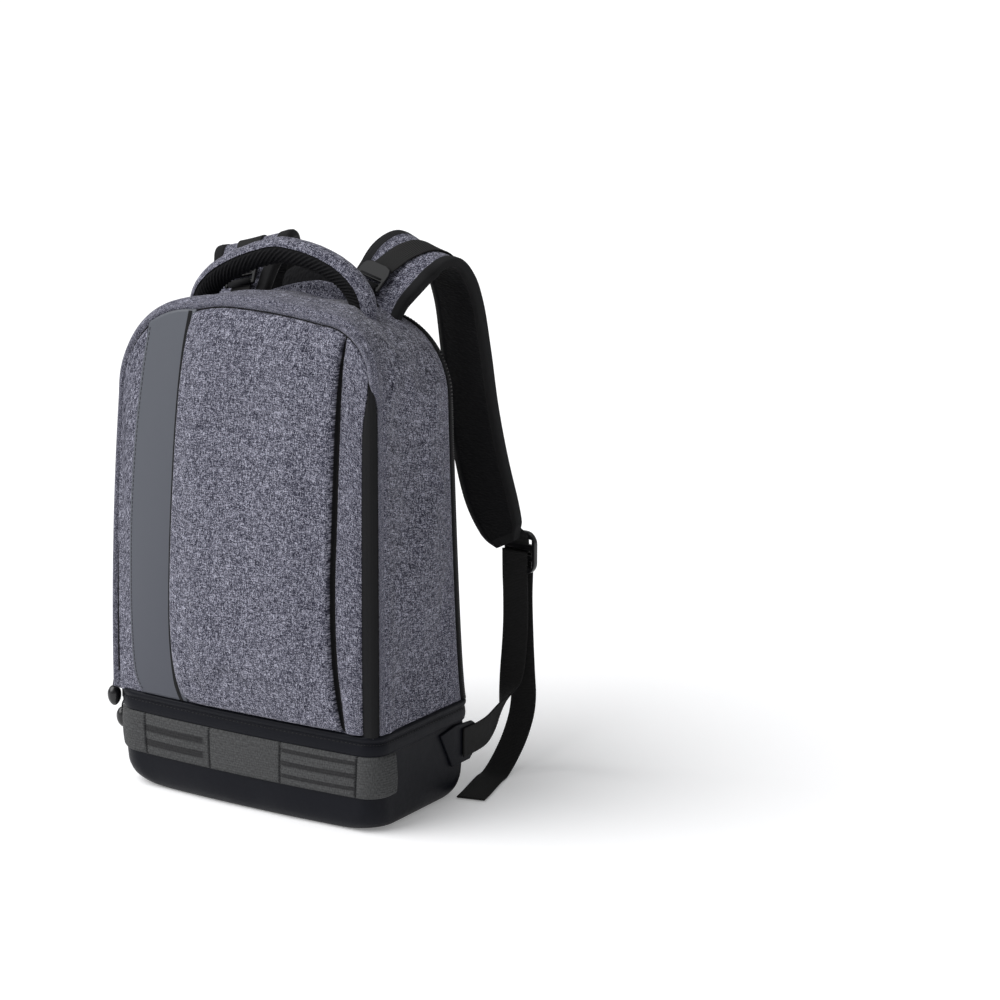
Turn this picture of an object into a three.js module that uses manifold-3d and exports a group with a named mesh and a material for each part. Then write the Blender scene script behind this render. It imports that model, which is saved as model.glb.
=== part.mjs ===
// Camera backpack with a grey heather body on a black coated base, standing on its base.
// Millimetres, +Z up, the front faces -Y, and the origin is at the centre of the base's underside.
import * as THREE from "three";
import { mergeVertices } from "three/addons/utils/BufferGeometryUtils.js";
import Module from "manifold-3d";

const wasm = await Module();
wasm.setup();

// Driving dimensions
const bodyWidth = 300;
const bodyDepth = 154;
const bodyHeight = 480;
const baseHeight = 94;
const bodyWall = 8;
const baseWall = 5;
const gap = 0.3;
const topCrown = 7;
const leftLean = 26;
const frontSwell = 15;
const baseSwell = 6;
const zipTapeWidth = 7;
const zipTapeDepth = 5;
const zipTapeProud = 0.8;
const backPanelThickness = 15;
const stripeThickness = 1.6;
const pocketLift = 10;
const gussetThickness = 2.4;
const cornerZipWidth = 10;
const cornerZipProud = 1.6;
const bandHeight = 19;
const bandThickness = 1.8;
const webbingRowHeight = 40;
const webbingRowThickness = 2.4;
const handleSpan = 180;
const handleRise = 48;
const handleThickness = 24;
const handlePlace = -9;
const yokeWidth = 92;
const yokeDepth = 46;
const yokeLift = 15;
const strapWidth = 64;
const strapThickness = 10;
const webbingThickness = 1.8;
const loadWebbingWidth = 25;
const anchorWebbingWidth = 28;
const loadBuckleWidth = 33;
const loadBuckleLength = 27;
const loadBuckleThickness = 3.4;
const loadBuckleLift = 6;
const adjusterWidth = 38;
const adjusterLength = 42;
const adjusterThickness = 5;
const slotWidth = 5;
const tabThickness = 2.5;
const sliderWidth = 8;
const sliderLength = 13;
const sliderThickness = 5;
const beadWidth = 13;
const beadLength = 20;
const pullerCordDiameter = 1.8;

// Sections of the body from front to back. depth: share of the body's depth. side and top: shares
// of half its width and of its height. lean: share of half the width lost at the right's top.
// early: how soon it is lost, 1 for evenly. left and right: corner radii as shares of the width.
const BODY_SECTIONS = [
  { depth: 0.0, side: 0.973, top: 0.98, lean: 0.01, early: 1.0, left: 0.28, right: 0.165 },
  { depth: 0.03, side: 0.993, top: 0.991, lean: 0.015, early: 1.0, left: 0.29, right: 0.175 },
  { depth: 0.11, side: 1.0, top: 1.0, lean: 0.02, early: 1.0, left: 0.315, right: 0.19 },
  { depth: 0.37, side: 1.0, top: 0.988, lean: 0.05, early: 0.9, left: 0.315, right: 0.22 },
  { depth: 0.69, side: 1.0, top: 0.97, lean: 0.09, early: 0.75, left: 0.3, right: 0.24 },
  { depth: 0.92, side: 1.0, top: 0.958, lean: 0.125, early: 0.65, left: 0.29, right: 0.25 },
  { depth: 1.1, side: 0.99, top: 0.951, lean: 0.135, early: 0.65, left: 0.28, right: 0.25 },
];

// Sections of the base from the floor up. height: share of its height. inset and corner: shares
// of the base's height.
const BASE_SECTIONS = [
  { height: 0.0, inset: 0.12, corner: 0.34 },
  { height: 0.035, inset: 0.065, corner: 0.3 },
  { height: 0.11, inset: 0.02, corner: 0.25 },
  { height: 0.25, inset: 0.0, corner: 0.21 },
  { height: 1.0, inset: 0.0, corner: 0.17 },
];

// Edges of the front's pieces. height: share of the body above the base. The rest are places
// across the front as shares of half the width.
const FRONT_EDGES = [
  { height: 0.0, stripeLeft: -0.75, stripeRight: -0.42, pleat: 0.77 },
  { height: 0.05, stripeLeft: -0.8, stripeRight: -0.45, pleat: 0.76 },
  { height: 0.18, stripeLeft: -0.82, stripeRight: -0.465, pleat: 0.73 },
  { height: 0.35, stripeLeft: -0.818, stripeRight: -0.455, pleat: 0.72 },
  { height: 0.55, stripeLeft: -0.8, stripeRight: -0.436, pleat: 0.73 },
  { height: 0.75, stripeLeft: -0.755, stripeRight: -0.41, pleat: 0.74 },
  { height: 0.9, stripeLeft: -0.7, stripeRight: -0.372, pleat: 0.76 },
  { height: 1.0, stripeLeft: -0.65, stripeRight: -0.325, pleat: 0.79 },
];

// Route of the right shoulder strap. out: share of half the body's width. back: share of half its
// depth. up: share of its height. turn and tilt: degrees the strap's width turns about Z and tips
// outwards. width: share of the strap's width.
const STRAP_ROUTE = [
  { out: 0.465, back: 0.48, up: 0.935, turn: 2, tilt: 6, width: 0.8 },
  { out: 0.475, back: 0.63, up: 0.979, turn: 0, tilt: 8, width: 0.96 },
  { out: 0.51, back: 0.81, up: 1.012, turn: -2, tilt: 10, width: 1.05 },
  { out: 0.545, back: 1.0, up: 1.04, turn: -6, tilt: 14, width: 1.12 },
  { out: 0.595, back: 1.18, up: 1.052, turn: -10, tilt: 15, width: 1.12 },
  { out: 0.64, back: 1.35, up: 1.042, turn: -14, tilt: 12, width: 1.1 },
  { out: 0.68, back: 1.49, up: 1.01, turn: -17, tilt: 6, width: 1.05 },
  { out: 0.705, back: 1.61, up: 0.955, turn: -17, tilt: 0, width: 1.0 },
  { out: 0.715, back: 1.74, up: 0.86, turn: -15, tilt: 0, width: 1.0 },
  { out: 0.73, back: 1.85, up: 0.745, turn: -12, tilt: 0, width: 1.0 },
  { out: 0.765, back: 1.96, up: 0.635, turn: -9, tilt: 0, width: 1.0 },
  { out: 0.815, back: 2.06, up: 0.545, turn: -8, tilt: 0, width: 0.98 },
  { out: 0.87, back: 2.12, up: 0.49, turn: -8, tilt: 0, width: 0.8 },
  { out: 0.915, back: 2.14, up: 0.462, turn: -8, tilt: 0, width: 0.42 },
];

// The load webbing on the strap. along: share of the strap's length. shift: sideways, as a share
// of the strap's width. lift: height over the strap as a share of the buckle's lift.
const LOAD_WEBBING_ROUTE = [
  { along: 0.37, shift: 0.0, lift: 0.0 },
  { along: 0.33, shift: 0.0, lift: 0.0 },
  { along: 0.29, shift: 0.0, lift: 0.0 },
  { along: 0.255, shift: -0.03, lift: 0.0 },
  { along: 0.225, shift: -0.06, lift: 0.0 },
  { along: 0.185, shift: -0.08, lift: 0.1 },
  { along: 0.145, shift: -0.08, lift: 0.35 },
  { along: 0.113, shift: -0.08, lift: 0.6 },
];
const loadBucklePlace = { along: 0.083, shift: -0.08 };
const BUCKLE_TAB_ROUTE = [
  { along: 0.063, shift: -0.08, lift: 0.6 },
  { along: 0.045, shift: -0.08, lift: 0.4 },
  { along: 0.025, shift: -0.08, lift: 0.2 },
  { along: 0.0, shift: -0.08, lift: 0.1 },
];

// Routes of the lower webbings, from the ladder lock down. out, back, up: as on the strap, with up
// as a share of the base's height. roll: degrees from the width along X to the width upright.
const ANCHOR_ROUTE = [
  { out: 0.94, back: 2.215, up: 2.28, roll: 0 },
  { out: 0.935, back: 2.24, up: 2.02, roll: 0 },
  { out: 0.93, back: 2.275, up: 1.79, roll: 0 },
  { out: 0.92, back: 2.31, up: 1.46, roll: 0 },
  { out: 0.915, back: 2.285, up: 1.14, roll: 8 },
  { out: 0.92, back: 2.2, up: 0.89, roll: 28 },
  { out: 0.945, back: 2.0, up: 0.72, roll: 58 },
  { out: 0.98, back: 1.68, up: 0.63, roll: 80 },
  { out: 1.022, back: 1.33, up: 0.585, roll: 88 },
];
const TAIL_ROUTE = [
  { out: 0.95, back: 2.345, up: 2.28 },
  { out: 0.94, back: 2.36, up: 2.02 },
  { out: 0.93, back: 2.385, up: 1.79 },
  { out: 0.935, back: 2.4, up: 1.37 },
  { out: 0.95, back: 2.4, up: 0.95 },
  { out: 0.968, back: 2.37, up: 0.72 },
  { out: 0.972, back: 2.31, up: 0.53 },
  { out: 0.965, back: 2.17, up: 0.31 },
  { out: 0.96, back: 1.96, up: 0.13 },
];
const TAIL_FLOOR_ROUTE = [
  { out: 0.968, back: 1.72 },
  { out: 1.0, back: 1.45 },
  { out: 1.04, back: 1.17 },
  { out: 1.075, back: 0.93 },
  { out: 1.1, back: 0.73 },
];

// Outline of the tab on the base's side. back: share of half the depth. up: share of its height.
const TAB_OUTLINE = [
  { back: 0.31, up: 0.735 },
  { back: 0.65, up: 0.775 },
  { back: 1.01, up: 0.75 },
  { back: 1.12, up: 0.69 },
  { back: 1.12, up: 0.46 },
  { back: 0.96, up: 0.36 },
  { back: 0.57, up: 0.36 },
];

const halfWidth = bodyWidth / 2;
const halfDepth = bodyDepth / 2;
const frontFaceY = -halfDepth;
const shellBackY = halfDepth - zipTapeWidth - 2 * gap - 5.4;
const zipFrontY = shellBackY + gap;
const zipBackY = zipFrontY + zipTapeWidth;
const panelFrontY = zipBackY + gap;
const shellFloor = baseHeight + gap;
const baseSideX = halfWidth;

const clamp = (value, low, high) => Math.min(Math.max(value, low), high);
const mix = (from, to, share) => from + (to - from) * share;
const radians = (degrees) => (degrees * Math.PI) / 180;

// Value of one column of a table at a place between its rows, on a smooth curve
function along(rows, at, key, place) {
  const last = rows.length - 1;
  let i = 0;
  while (i < last - 1 && place > rows[i + 1][at]) i += 1;
  const span = rows[i + 1][at] - rows[i][at];
  const t = clamp((place - rows[i][at]) / span, 0, 1);
  const slope = (a, b) => (rows[b][key] - rows[a][key]) / (rows[b][at] - rows[a][at]);
  const m0 = slope(Math.max(i - 1, 0), i + 1) * span;
  const m1 = slope(i, Math.min(i + 2, last)) * span;
  const t2 = t * t;
  const t3 = t2 * t;
  return (
    (2 * t3 - 3 * t2 + 1) * rows[i][key] +
    (t3 - 2 * t2 + t) * m0 +
    (-2 * t3 + 3 * t2) * rows[i + 1][key] +
    (t3 - t2) * m1
  );
}

// Closed mesh through rings of equally many points, with a fan over each end
function loft(rings) {
  const count = rings[0].length;
  const positions = [];
  const index = [];
  for (const ring of rings) {
    for (const point of ring) positions.push(point.x, point.y, point.z);
  }
  for (let i = 0; i < rings.length - 1; i += 1) {
    for (let j = 0; j < count; j += 1) {
      const a = i * count + j;
      const b = i * count + ((j + 1) % count);
      index.push(a, b, b + count, a, b + count, a + count);
    }
  }
  for (const [ring, flip] of [[0, true], [rings.length - 1, false]]) {
    const middle = new THREE.Vector3();
    rings[ring].forEach((point) => middle.add(point));
    middle.divideScalar(count);
    const centre = positions.length / 3;
    positions.push(middle.x, middle.y, middle.z);
    for (let j = 0; j < count; j += 1) {
      const a = ring * count + j;
      const b = ring * count + ((j + 1) % count);
      if (flip) index.push(centre, b, a);
      else index.push(centre, a, b);
    }
  }
  return facingOut(geometryFrom(positions, index));
}

function geometryFrom(positions, index) {
  const geometry = new THREE.BufferGeometry();
  geometry.setAttribute("position", new THREE.Float32BufferAttribute(positions, 3));
  geometry.setIndex(index);
  return geometry;
}

// Turns a closed mesh right side out
function facingOut(geometry) {
  const position = geometry.attributes.position;
  const index = Array.from(geometry.index.array);
  const [a, b, c] = [new THREE.Vector3(), new THREE.Vector3(), new THREE.Vector3()];
  let volume = 0;
  for (let i = 0; i < index.length; i += 3) {
    a.fromBufferAttribute(position, index[i]);
    b.fromBufferAttribute(position, index[i + 1]);
    c.fromBufferAttribute(position, index[i + 2]);
    volume += a.dot(b.cross(c));
  }
  if (volume < 0) {
    for (let i = 0; i < index.length; i += 3) {
      [index[i + 1], index[i + 2]] = [index[i + 2], index[i + 1]];
    }
    geometry.setIndex(index);
  }
  return geometry;
}

function solid(geometry) {
  const bare = geometry.clone();
  bare.deleteAttribute("normal");
  bare.deleteAttribute("uv");
  const merged = facingOut(mergeVertices(bare, 1e-4));
  return new wasm.Manifold(
    new wasm.Mesh({
      numProp: 3,
      vertProperties: new Float32Array(merged.attributes.position.array),
      triVerts: new Uint32Array(merged.index.array),
    }),
  );
}

function geometryOf(manifold) {
  const mesh = manifold.getMesh();
  return geometryFrom(Array.from(mesh.vertProperties), Array.from(mesh.triVerts));
}

function mirrored(geometry) {
  const copy = geometry.clone();
  copy.scale(-1, 1, 1);
  return facingOut(copy);
}

// The body's section at a depth, between the rows of the table
function bodySection(y) {
  const depth = (y + halfDepth) / bodyDepth;
  const row = {};
  for (const key of Object.keys(BODY_SECTIONS[0]).slice(1)) {
    row[key] = along(BODY_SECTIONS, "depth", key, depth);
  }
  return row;
}

// Distance from the middle to the right (1) or left (-1) side of a section at a height
function sideX(row, z, sign = 1) {
  const rise = clamp((z - baseHeight) / (bodyHeight * row.top - baseHeight), 0, 1);
  const lost = sign > 0 ? halfWidth * row.lean * rise ** row.early : leftLean * rise ** 2;
  return halfWidth * row.side - lost;
}

// Arch outline of a section, from the right foot over the top to the left foot and back
function bodyOutline(row, grow = 0, floor = shellFloor) {
  const top = bodyHeight * row.top;
  const half = (sign, corner) => {
    const radius = corner * bodyWidth;
    const shoulder = top - topCrown - radius;
    const cornerX = sideX(row, shoulder, sign) - radius;
    const points = [];
    for (const share of [0, 0.3, 0.65]) {
      const z = mix(floor, shoulder, share);
      points.push([sideX(row, z, sign) + grow, z]);
    }
    for (let degrees = 0; degrees <= 90; degrees += 15) {
      const angle = radians(degrees);
      points.push([
        cornerX + (radius + grow) * Math.cos(angle),
        shoulder + (radius + grow) * Math.sin(angle),
      ]);
    }
    for (const share of [0.66, 0.33]) {
      points.push([cornerX * share, top + grow - topCrown * share * share]);
    }
    return points.map(([x, z]) => new THREE.Vector2(sign * x, z));
  };
  const right = half(1, row.right);
  const left = half(-1, row.left).reverse();
  const foot = [-0.6, -0.2, 0.2, 0.6].map(
    (share) => new THREE.Vector2(share * (sideX(row, floor) + grow), floor),
  );
  return [...right, new THREE.Vector2(0, top + grow), ...left, ...foot];
}

// The front's swelling: none at the top seam, most at a third of the height
const swellAtSeam = 0.35;
const swellPower = 0.62;
const swellSquareness = 3.5;
function frontY(x, z) {
  const frontTop = bodyHeight * BODY_SECTIONS[0].top;
  const rise = clamp((z - baseHeight) / (frontTop - baseHeight), 0, 1);
  const up = swellAtSeam * (1 - rise) + (1 - swellAtSeam) * Math.sin(Math.PI * rise ** swellPower);
  const across = clamp(Math.abs(x) / (halfWidth * BODY_SECTIONS[0].side), 0, 1);
  return frontFaceY - frontSwell * up * (1 - across ** swellSquareness);
}

const ringAt = (outline, y) => outline.map((p) => new THREE.Vector3(p.x, y, p.y));

// The body's form up to a depth, moved out by grow, with its swollen front face
function bodyForm({ grow = 0, back, floor = shellFloor }) {
  const frontOutline = bodyOutline(BODY_SECTIONS[0], grow, floor);
  const middleZ = mix(baseHeight, bodyHeight, 0.5);
  const rings = [];
  for (const share of [0.25, 0.55, 0.8, 0.93, 1]) {
    rings.push(
      frontOutline.map((p) => {
        const x = p.x * share;
        const z = middleZ + (p.y - middleZ) * share;
        return new THREE.Vector3(x, frontY(x, z) - grow, z);
      }),
    );
  }
  const clearOfFront = frontFaceY + Math.max(0, -grow) + 1;
  for (const row of BODY_SECTIONS.slice(1)) {
    const y = -halfDepth + row.depth * bodyDepth;
    if (y > clearOfFront && y < back - 1) rings.push(ringAt(bodyOutline(row, grow, floor), y));
  }
  rings.push(ringAt(bodyOutline(bodySection(back), grow, floor), back));
  return solid(loft(rings));
}

const bodyGrown = bodyForm({ grow: gap, back: halfDepth, floor: baseHeight - 1 });

function bodyShell() {
  const outside = bodyForm({ back: shellBackY });
  const inside = bodyForm({ grow: -bodyWall, back: halfDepth, floor: baseHeight - 20 });
  return geometryOf(outside.subtract(inside));
}

// A slice of the body's form between two depths
function bodySlice(places, floorRise = 0) {
  return loft(
    places.map(({ y, grow }) => {
      const floor = shellFloor + floorRise * Math.max(0, -grow);
      return ringAt(bodyOutline(bodySection(Math.min(y, halfDepth)), grow, floor), y);
    }),
  );
}

function mainZip() {
  const outside = solid(
    bodySlice([{ y: zipFrontY, grow: zipTapeProud }, { y: zipBackY, grow: zipTapeProud }]),
  );
  const inside = bodyForm({ grow: -zipTapeDepth, back: halfDepth, floor: baseHeight - 20 });
  return geometryOf(outside.subtract(inside));
}

function backPanel() {
  const step = backPanelThickness;
  return bodySlice(
    [
      { y: panelFrontY, grow: -1 },
      { y: panelFrontY + step * 0.25, grow: -3.5 },
      { y: panelFrontY + step * 0.6, grow: -8 },
      { y: panelFrontY + step * 0.9, grow: -17 },
      { y: panelFrontY + step, grow: -36 },
    ],
    1,
  );
}

// Outline of the base at a height, round at its corners and swollen in front. Its front left
// corner is worn rounder than the others.
const leftCornerRound = 1.5;
function baseOutline(z, grow = 0) {
  const height = clamp(z / baseHeight, 0, 1);
  const inset = along(BASE_SECTIONS, "height", "inset", height) * baseHeight - grow;
  const radius = along(BASE_SECTIONS, "height", "corner", height) * baseHeight + grow;
  const halfX = baseSideX - inset;
  const halfY = halfDepth - inset;
  const points = [];
  const corner = (signX, signY, start, round = radius) => {
    for (let i = 0; i <= 4; i += 1) {
      const angle = radians(start + i * 22.5);
      const x = signX * (halfX - round) + round * Math.cos(angle);
      const y = signY * (halfY - round) + round * Math.sin(angle);
      points.push(new THREE.Vector3(x, y, z));
    }
  };
  const straight = (x0, y0, x1, y1, shares) => {
    for (const share of shares) {
      points.push(new THREE.Vector3(mix(x0, x1, share), mix(y0, y1, share), z));
    }
  };
  const flat = halfX - radius;
  corner(1, 1, 0);
  straight(flat, halfY, -flat, halfY, [0.25, 0.5, 0.75]);
  corner(-1, 1, 90);
  corner(-1, -1, 180, leftCornerRound * radius);
  straight(-flat, -halfY, flat, -halfY, [0.12, 0.25, 0.38, 0.5, 0.62, 0.75, 0.88]);
  corner(1, -1, 270);
  for (const point of points) {
    if (point.y < 0) point.y -= baseSwell * (1 - (point.x / halfX) ** 2) * (-point.y / halfY);
  }
  return points;
}

function baseForm(grow, heights) {
  return solid(loft(heights.map((z) => baseOutline(z, grow).map((p) => p.clone().setZ(z)))));
}

const baseGrown = baseForm(gap, [-1, 0, 0.03, 0.11, 0.3, 0.65, 1].map((s) => s * baseHeight));

function baseTub() {
  const outside = baseForm(0, BASE_SECTIONS.map((row) => row.height * baseHeight));
  const inside = baseForm(-baseWall, [baseWall, 0.2 * baseHeight, baseHeight + 10]);
  return geometryOf(outside.subtract(inside));
}

function baseBand() {
  const low = baseHeight - bandHeight;
  const high = baseHeight - 0.4;
  const middle = mix(low, high, 0.5);
  const outside = loft(
    [[low, 0.6], [low + 2, 1], [middle, 1], [high - 2, 1], [high, 0.6]].map(([z, share]) =>
      baseOutline(z, gap + bandThickness * share),
    ),
  );
  return geometryOf(solid(outside).subtract(baseGrown));
}

function block(low, high) {
  const geometry = new THREE.BoxGeometry(high[0] - low[0], high[1] - low[1], high[2] - low[2]);
  geometry.translate((low[0] + high[0]) / 2, (low[1] + high[1]) / 2, (low[2] + high[2]) / 2);
  return solid(geometry);
}

const rowTop = baseHeight - bandHeight - gap;
const rowBottom = rowTop - webbingRowHeight;
const rowWrap = 14;
function webbingRow() {
  const steps = [[0, 0.7], [0.06, 1], [0.5, 1], [0.94, 1], [1, 0.7]];
  const outside = loft(
    steps.map(([share, thick]) =>
      baseOutline(mix(rowBottom, rowTop, share), gap + webbingRowThickness * thick),
    ),
  );
  const frontOnly = block(
    [-bodyWidth, -bodyDepth, 0],
    [bodyWidth, -halfDepth + rowWrap, bodyHeight],
  );
  return geometryOf(solid(outside).subtract(baseGrown).intersect(frontOnly));
}

// Height of a section's top over a place across it
function sectionTopZ(row, x) {
  const top = bodyHeight * row.top;
  const radius = (x > 0 ? row.right : row.left) * bodyWidth;
  const shoulder = top - topCrown - radius;
  const cornerX = sideX(row, shoulder, Math.sign(x)) - radius;
  const out = Math.abs(x);
  if (out <= cornerX) return top - topCrown * (out / cornerX) ** 2;
  return shoulder + Math.sqrt(Math.max(radius ** 2 - (out - cornerX) ** 2, 0));
}

// Panel lying on the front between two edges, raised by lift(u, v) and closed behind
function frontPanel({ left, right, low, topMargin, lift, columns, rows, depth = 6 }) {
  const point = (u, v, y) => {
    const height = v;
    const x = mix(left(height), right(height), u);
    const z = mix(low(x), sectionTopZ(BODY_SECTIONS[0], x) - topMargin, v);
    return new THREE.Vector3(x, y(x, z, u, v), z);
  };
  const outer = (x, z, u, v) => frontY(x, z) - gap - lift(u, v);
  const inner = (x, z) => frontY(x, z) + depth;
  const positions = [];
  const index = [];
  const stride = columns + 1;
  for (const side of [outer, inner]) {
    for (let j = 0; j <= rows; j += 1) {
      for (let i = 0; i <= columns; i += 1) {
        const p = point(i / columns, j / rows, side);
        positions.push(p.x, p.y, p.z);
      }
    }
  }
  const offset = stride * (rows + 1);
  for (let j = 0; j < rows; j += 1) {
    for (let i = 0; i < columns; i += 1) {
      const a = j * stride + i;
      index.push(a, a + 1, a + stride + 1, a, a + stride + 1, a + stride);
      index.push(
        a + offset, a + stride + 1 + offset, a + 1 + offset,
        a + offset, a + stride + offset, a + stride + 1 + offset,
      );
    }
  }
  const border = [];
  for (let i = 0; i < columns; i += 1) border.push(i);
  for (let j = 0; j < rows; j += 1) border.push(j * stride + columns);
  for (let i = columns; i > 0; i -= 1) border.push(rows * stride + i);
  for (let j = rows; j > 0; j -= 1) border.push(j * stride);
  border.forEach((a, k) => {
    const b = border[(k + 1) % border.length];
    index.push(a, a + offset, b + offset, a, b + offset, b);
  });
  return solid(facingOut(geometryFrom(positions, index)));
}

const edge = (key, shift = 0) => (height) =>
  halfWidth * along(FRONT_EDGES, "height", key, height) + shift;
const seamZ = () => shellFloor + 1;
const stripeUnderPocket = 6;

function stripeForm(grow) {
  return frontPanel({
    left: edge("stripeLeft", -grow),
    right: edge("stripeRight", stripeUnderPocket + grow),
    low: () => seamZ() - grow,
    topMargin: 2 - grow,
    lift: () => stripeThickness + grow,
    columns: 4,
    rows: 14,
  });
}

const frontStripe = () => geometryOf(stripeForm(0).subtract(bodyGrown));

// Rise of the pocket's face from its four edges, as shares of its full lift
const pocketEdge = { left: 0.42, right: 0.72, low: 0.3, high: 0.18, softness: 0.13 };
function pocketRise(u, v) {
  const soft = (distance, least) => {
    const t = clamp(distance / pocketEdge.softness, 0, 1);
    return mix(least, 1, Math.sqrt(1 - (1 - t) ** 2));
  };
  const across = Math.min(soft(u, pocketEdge.left), soft(1.5 * (1 - u), pocketEdge.right));
  return across * Math.min(soft(v, pocketEdge.low), soft(0.6 * (1 - v), pocketEdge.high));
}

function frontPocket() {
  const cornerRound = 26;
  const low = (x) => {
    const fromEdge = x - halfWidth * FRONT_EDGES[1].stripeRight;
    const t = clamp(1 - fromEdge / cornerRound, 0, 1);
    return seamZ() + cornerRound * 0.75 * (1 - Math.sqrt(1 - t * t));
  };
  const panel = frontPanel({
    left: edge("stripeRight"),
    right: edge("pleat"),
    low,
    topMargin: 2,
    lift: (u, v) => pocketLift * pocketRise(u, v),
    columns: 14,
    rows: 16,
  });
  return geometryOf(panel.subtract(bodyGrown).subtract(stripeForm(gap)));
}

const cornerZipTop = 0.825;
const gussetRight = 0.94;
function pocketGusset() {
  return geometryOf(
    frontPanel({
      left: edge("pleat", gap),
      right: () => halfWidth * gussetRight,
      low: seamZ,
      topMargin: 2,
      lift: (u, v) => gussetThickness * mix(1, 0.6, v),
      columns: 2,
      rows: 12,
    })
      .subtract(bodyGrown)
      .subtract(cornerZipForm(gap)),
  );
}

// Zip bent over the front corner of the body
function cornerZipForm(grow) {
  const row = BODY_SECTIONS[0];
  const top = mix(baseHeight, bodyHeight, cornerZipTop);
  const onFront = cornerZipWidth * 0.45;
  const onSide = cornerZipWidth * 0.55;
  const proud = cornerZipProud + grow;
  const rings = [];
  const steps = 9;
  for (let i = 0; i <= steps; i += 1) {
    const z = mix(shellFloor + 1 - grow, top + grow, i / steps);
    const x = sideX(row, z);
    const frontX = x - onFront - grow;
    rings.push([
      new THREE.Vector3(frontX, frontY(frontX, z) - proud, z),
      new THREE.Vector3(x + 0.9 + grow, frontFaceY - proud, z),
      new THREE.Vector3(x + 3.2 + proud, frontFaceY + onSide + grow, z),
      new THREE.Vector3(x + 0.5, frontFaceY + onSide + grow, z),
      new THREE.Vector3(frontX, frontFaceY + 4, z),
    ]);
  }
  return solid(loft(rings));
}

const cornerZip = () => geometryOf(cornerZipForm(0).subtract(bodyGrown));

// Height of the bag's top over a place on it
const topZ = (x, y) => sectionTopZ(bodySection(y), x);

// Half of the handle's tube, on its outer side (1) or its inner side (-1)
function handleHalf(side) {
  const steps = 16;
  const radius = handleThickness / 2;
  const footZ = topZ(handleSpan / 2, handlePlace);
  const leftDrop = footZ - topZ(-handleSpan / 2, handlePlace);
  const stations = [];
  const buried = 14;
  stations.push({ x: handleSpan / 2, z: footZ - buried, outX: 1, outZ: 0 });
  for (let i = 0; i <= steps; i += 1) {
    const angle = (Math.PI * i) / steps;
    const across = Math.cos(angle) / handleSpan;
    const normal = new THREE.Vector2(across, Math.sin(angle) / (2 * handleRise)).normalize();
    const left = Math.max(-Math.cos(angle), 0);
    const drop = leftDrop * left ** 1.6;
    stations.push({
      x: (handleSpan / 2) * Math.cos(angle),
      z: footZ + handleRise * Math.sin(angle) - drop,
      outX: normal.x,
      outZ: normal.y,
    });
  }
  stations.push({ x: -handleSpan / 2, z: footZ - leftDrop - buried, outX: -1, outZ: 0 });
  const rings = stations.map((s) => {
    const ring = [];
    for (let i = 0; i <= 6; i += 1) {
      const angle = radians(-90 + i * 30);
      const radial = side * (gap / 2 + (radius - gap / 2) * Math.cos(angle));
      const y = handlePlace + radius * Math.sin(angle);
      ring.push(new THREE.Vector3(s.x + s.outX * radial, y, s.z + s.outZ * radial));
    }
    return ring;
  });
  return geometryOf(solid(loft(rings)).subtract(bodyGrown));
}

// Soft fold on the top, between the straps' roots. across: share of its depth. lift: share of its
// full height.
const YOKE_PROFILE = [
  { across: 0.0, lift: 0.08 },
  { across: 0.08, lift: 0.45 },
  { across: 0.25, lift: 0.85 },
  { across: 0.5, lift: 1.0 },
  { across: 0.75, lift: 0.9 },
  { across: 0.95, lift: 0.5 },
  { across: 1.0, lift: 0.1 },
];
function topYoke() {
  const columns = 10;
  const rings = [];
  const frontPlace = handlePlace + handleThickness / 2 + 4;
  for (let i = 0; i <= columns; i += 1) {
    const u = i / columns;
    const x = mix(-yokeWidth / 2, yokeWidth / 2, u);
    const hump = Math.sqrt(Math.max(1 - (2 * u - 1) ** 4, 0));
    const ring = [];
    for (const row of YOKE_PROFILE) {
      const y = frontPlace + yokeDepth * row.across;
      const lift = 0.6 + yokeLift * row.lift * (0.12 + 0.88 * hump);
      ring.push(new THREE.Vector3(x, y, topZ(x, y) + lift));
    }
    for (const v of [1, 0]) {
      const y = frontPlace + yokeDepth * v;
      ring.push(new THREE.Vector3(x, y, topZ(x, y) - 5));
    }
    rings.push(ring);
  }
  return geometryOf(solid(loft(rings)).subtract(bodyGrown).subtract(strapRoots()));
}

// Frame of the right strap at a share of its route: place, direction, width, and outward normal
const strapCurve = new THREE.CatmullRomCurve3(
  STRAP_ROUTE.map(
    (row) => new THREE.Vector3(row.out * halfWidth, row.back * halfDepth, row.up * bodyHeight),
  ),
);
const strapRows = STRAP_ROUTE.map((row, i) => ({ ...row, step: i / (STRAP_ROUTE.length - 1) }));

function strapFrame(place) {
  const step = strapCurve.getUtoTmapping(clamp(place, 0, 1));
  const centre = strapCurve.getPoint(step);
  const run = strapCurve.getTangent(step);
  const turn = radians(along(strapRows, "step", "turn", step));
  const tilt = radians(along(strapRows, "step", "tilt", step));
  const across = new THREE.Vector3(
    Math.cos(turn) * Math.cos(tilt),
    Math.sin(turn) * Math.cos(tilt),
    -Math.sin(tilt),
  );
  across.addScaledVector(run, -across.dot(run)).normalize();
  const out = new THREE.Vector3().crossVectors(across, run);
  return { centre, run, across, out, width: strapWidth * along(strapRows, "step", "width", step) };
}

// Section of a padded strap: across and out as shares of its width and thickness
const PAD_SECTION = [
  [-0.5, 0], [-0.47, 0.34], [-0.34, 0.5], [0, 0.5], [0.34, 0.5], [0.47, 0.34],
  [0.5, 0], [0.47, -0.34], [0.34, -0.5], [0, -0.5], [-0.34, -0.5], [-0.47, -0.34],
];

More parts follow.
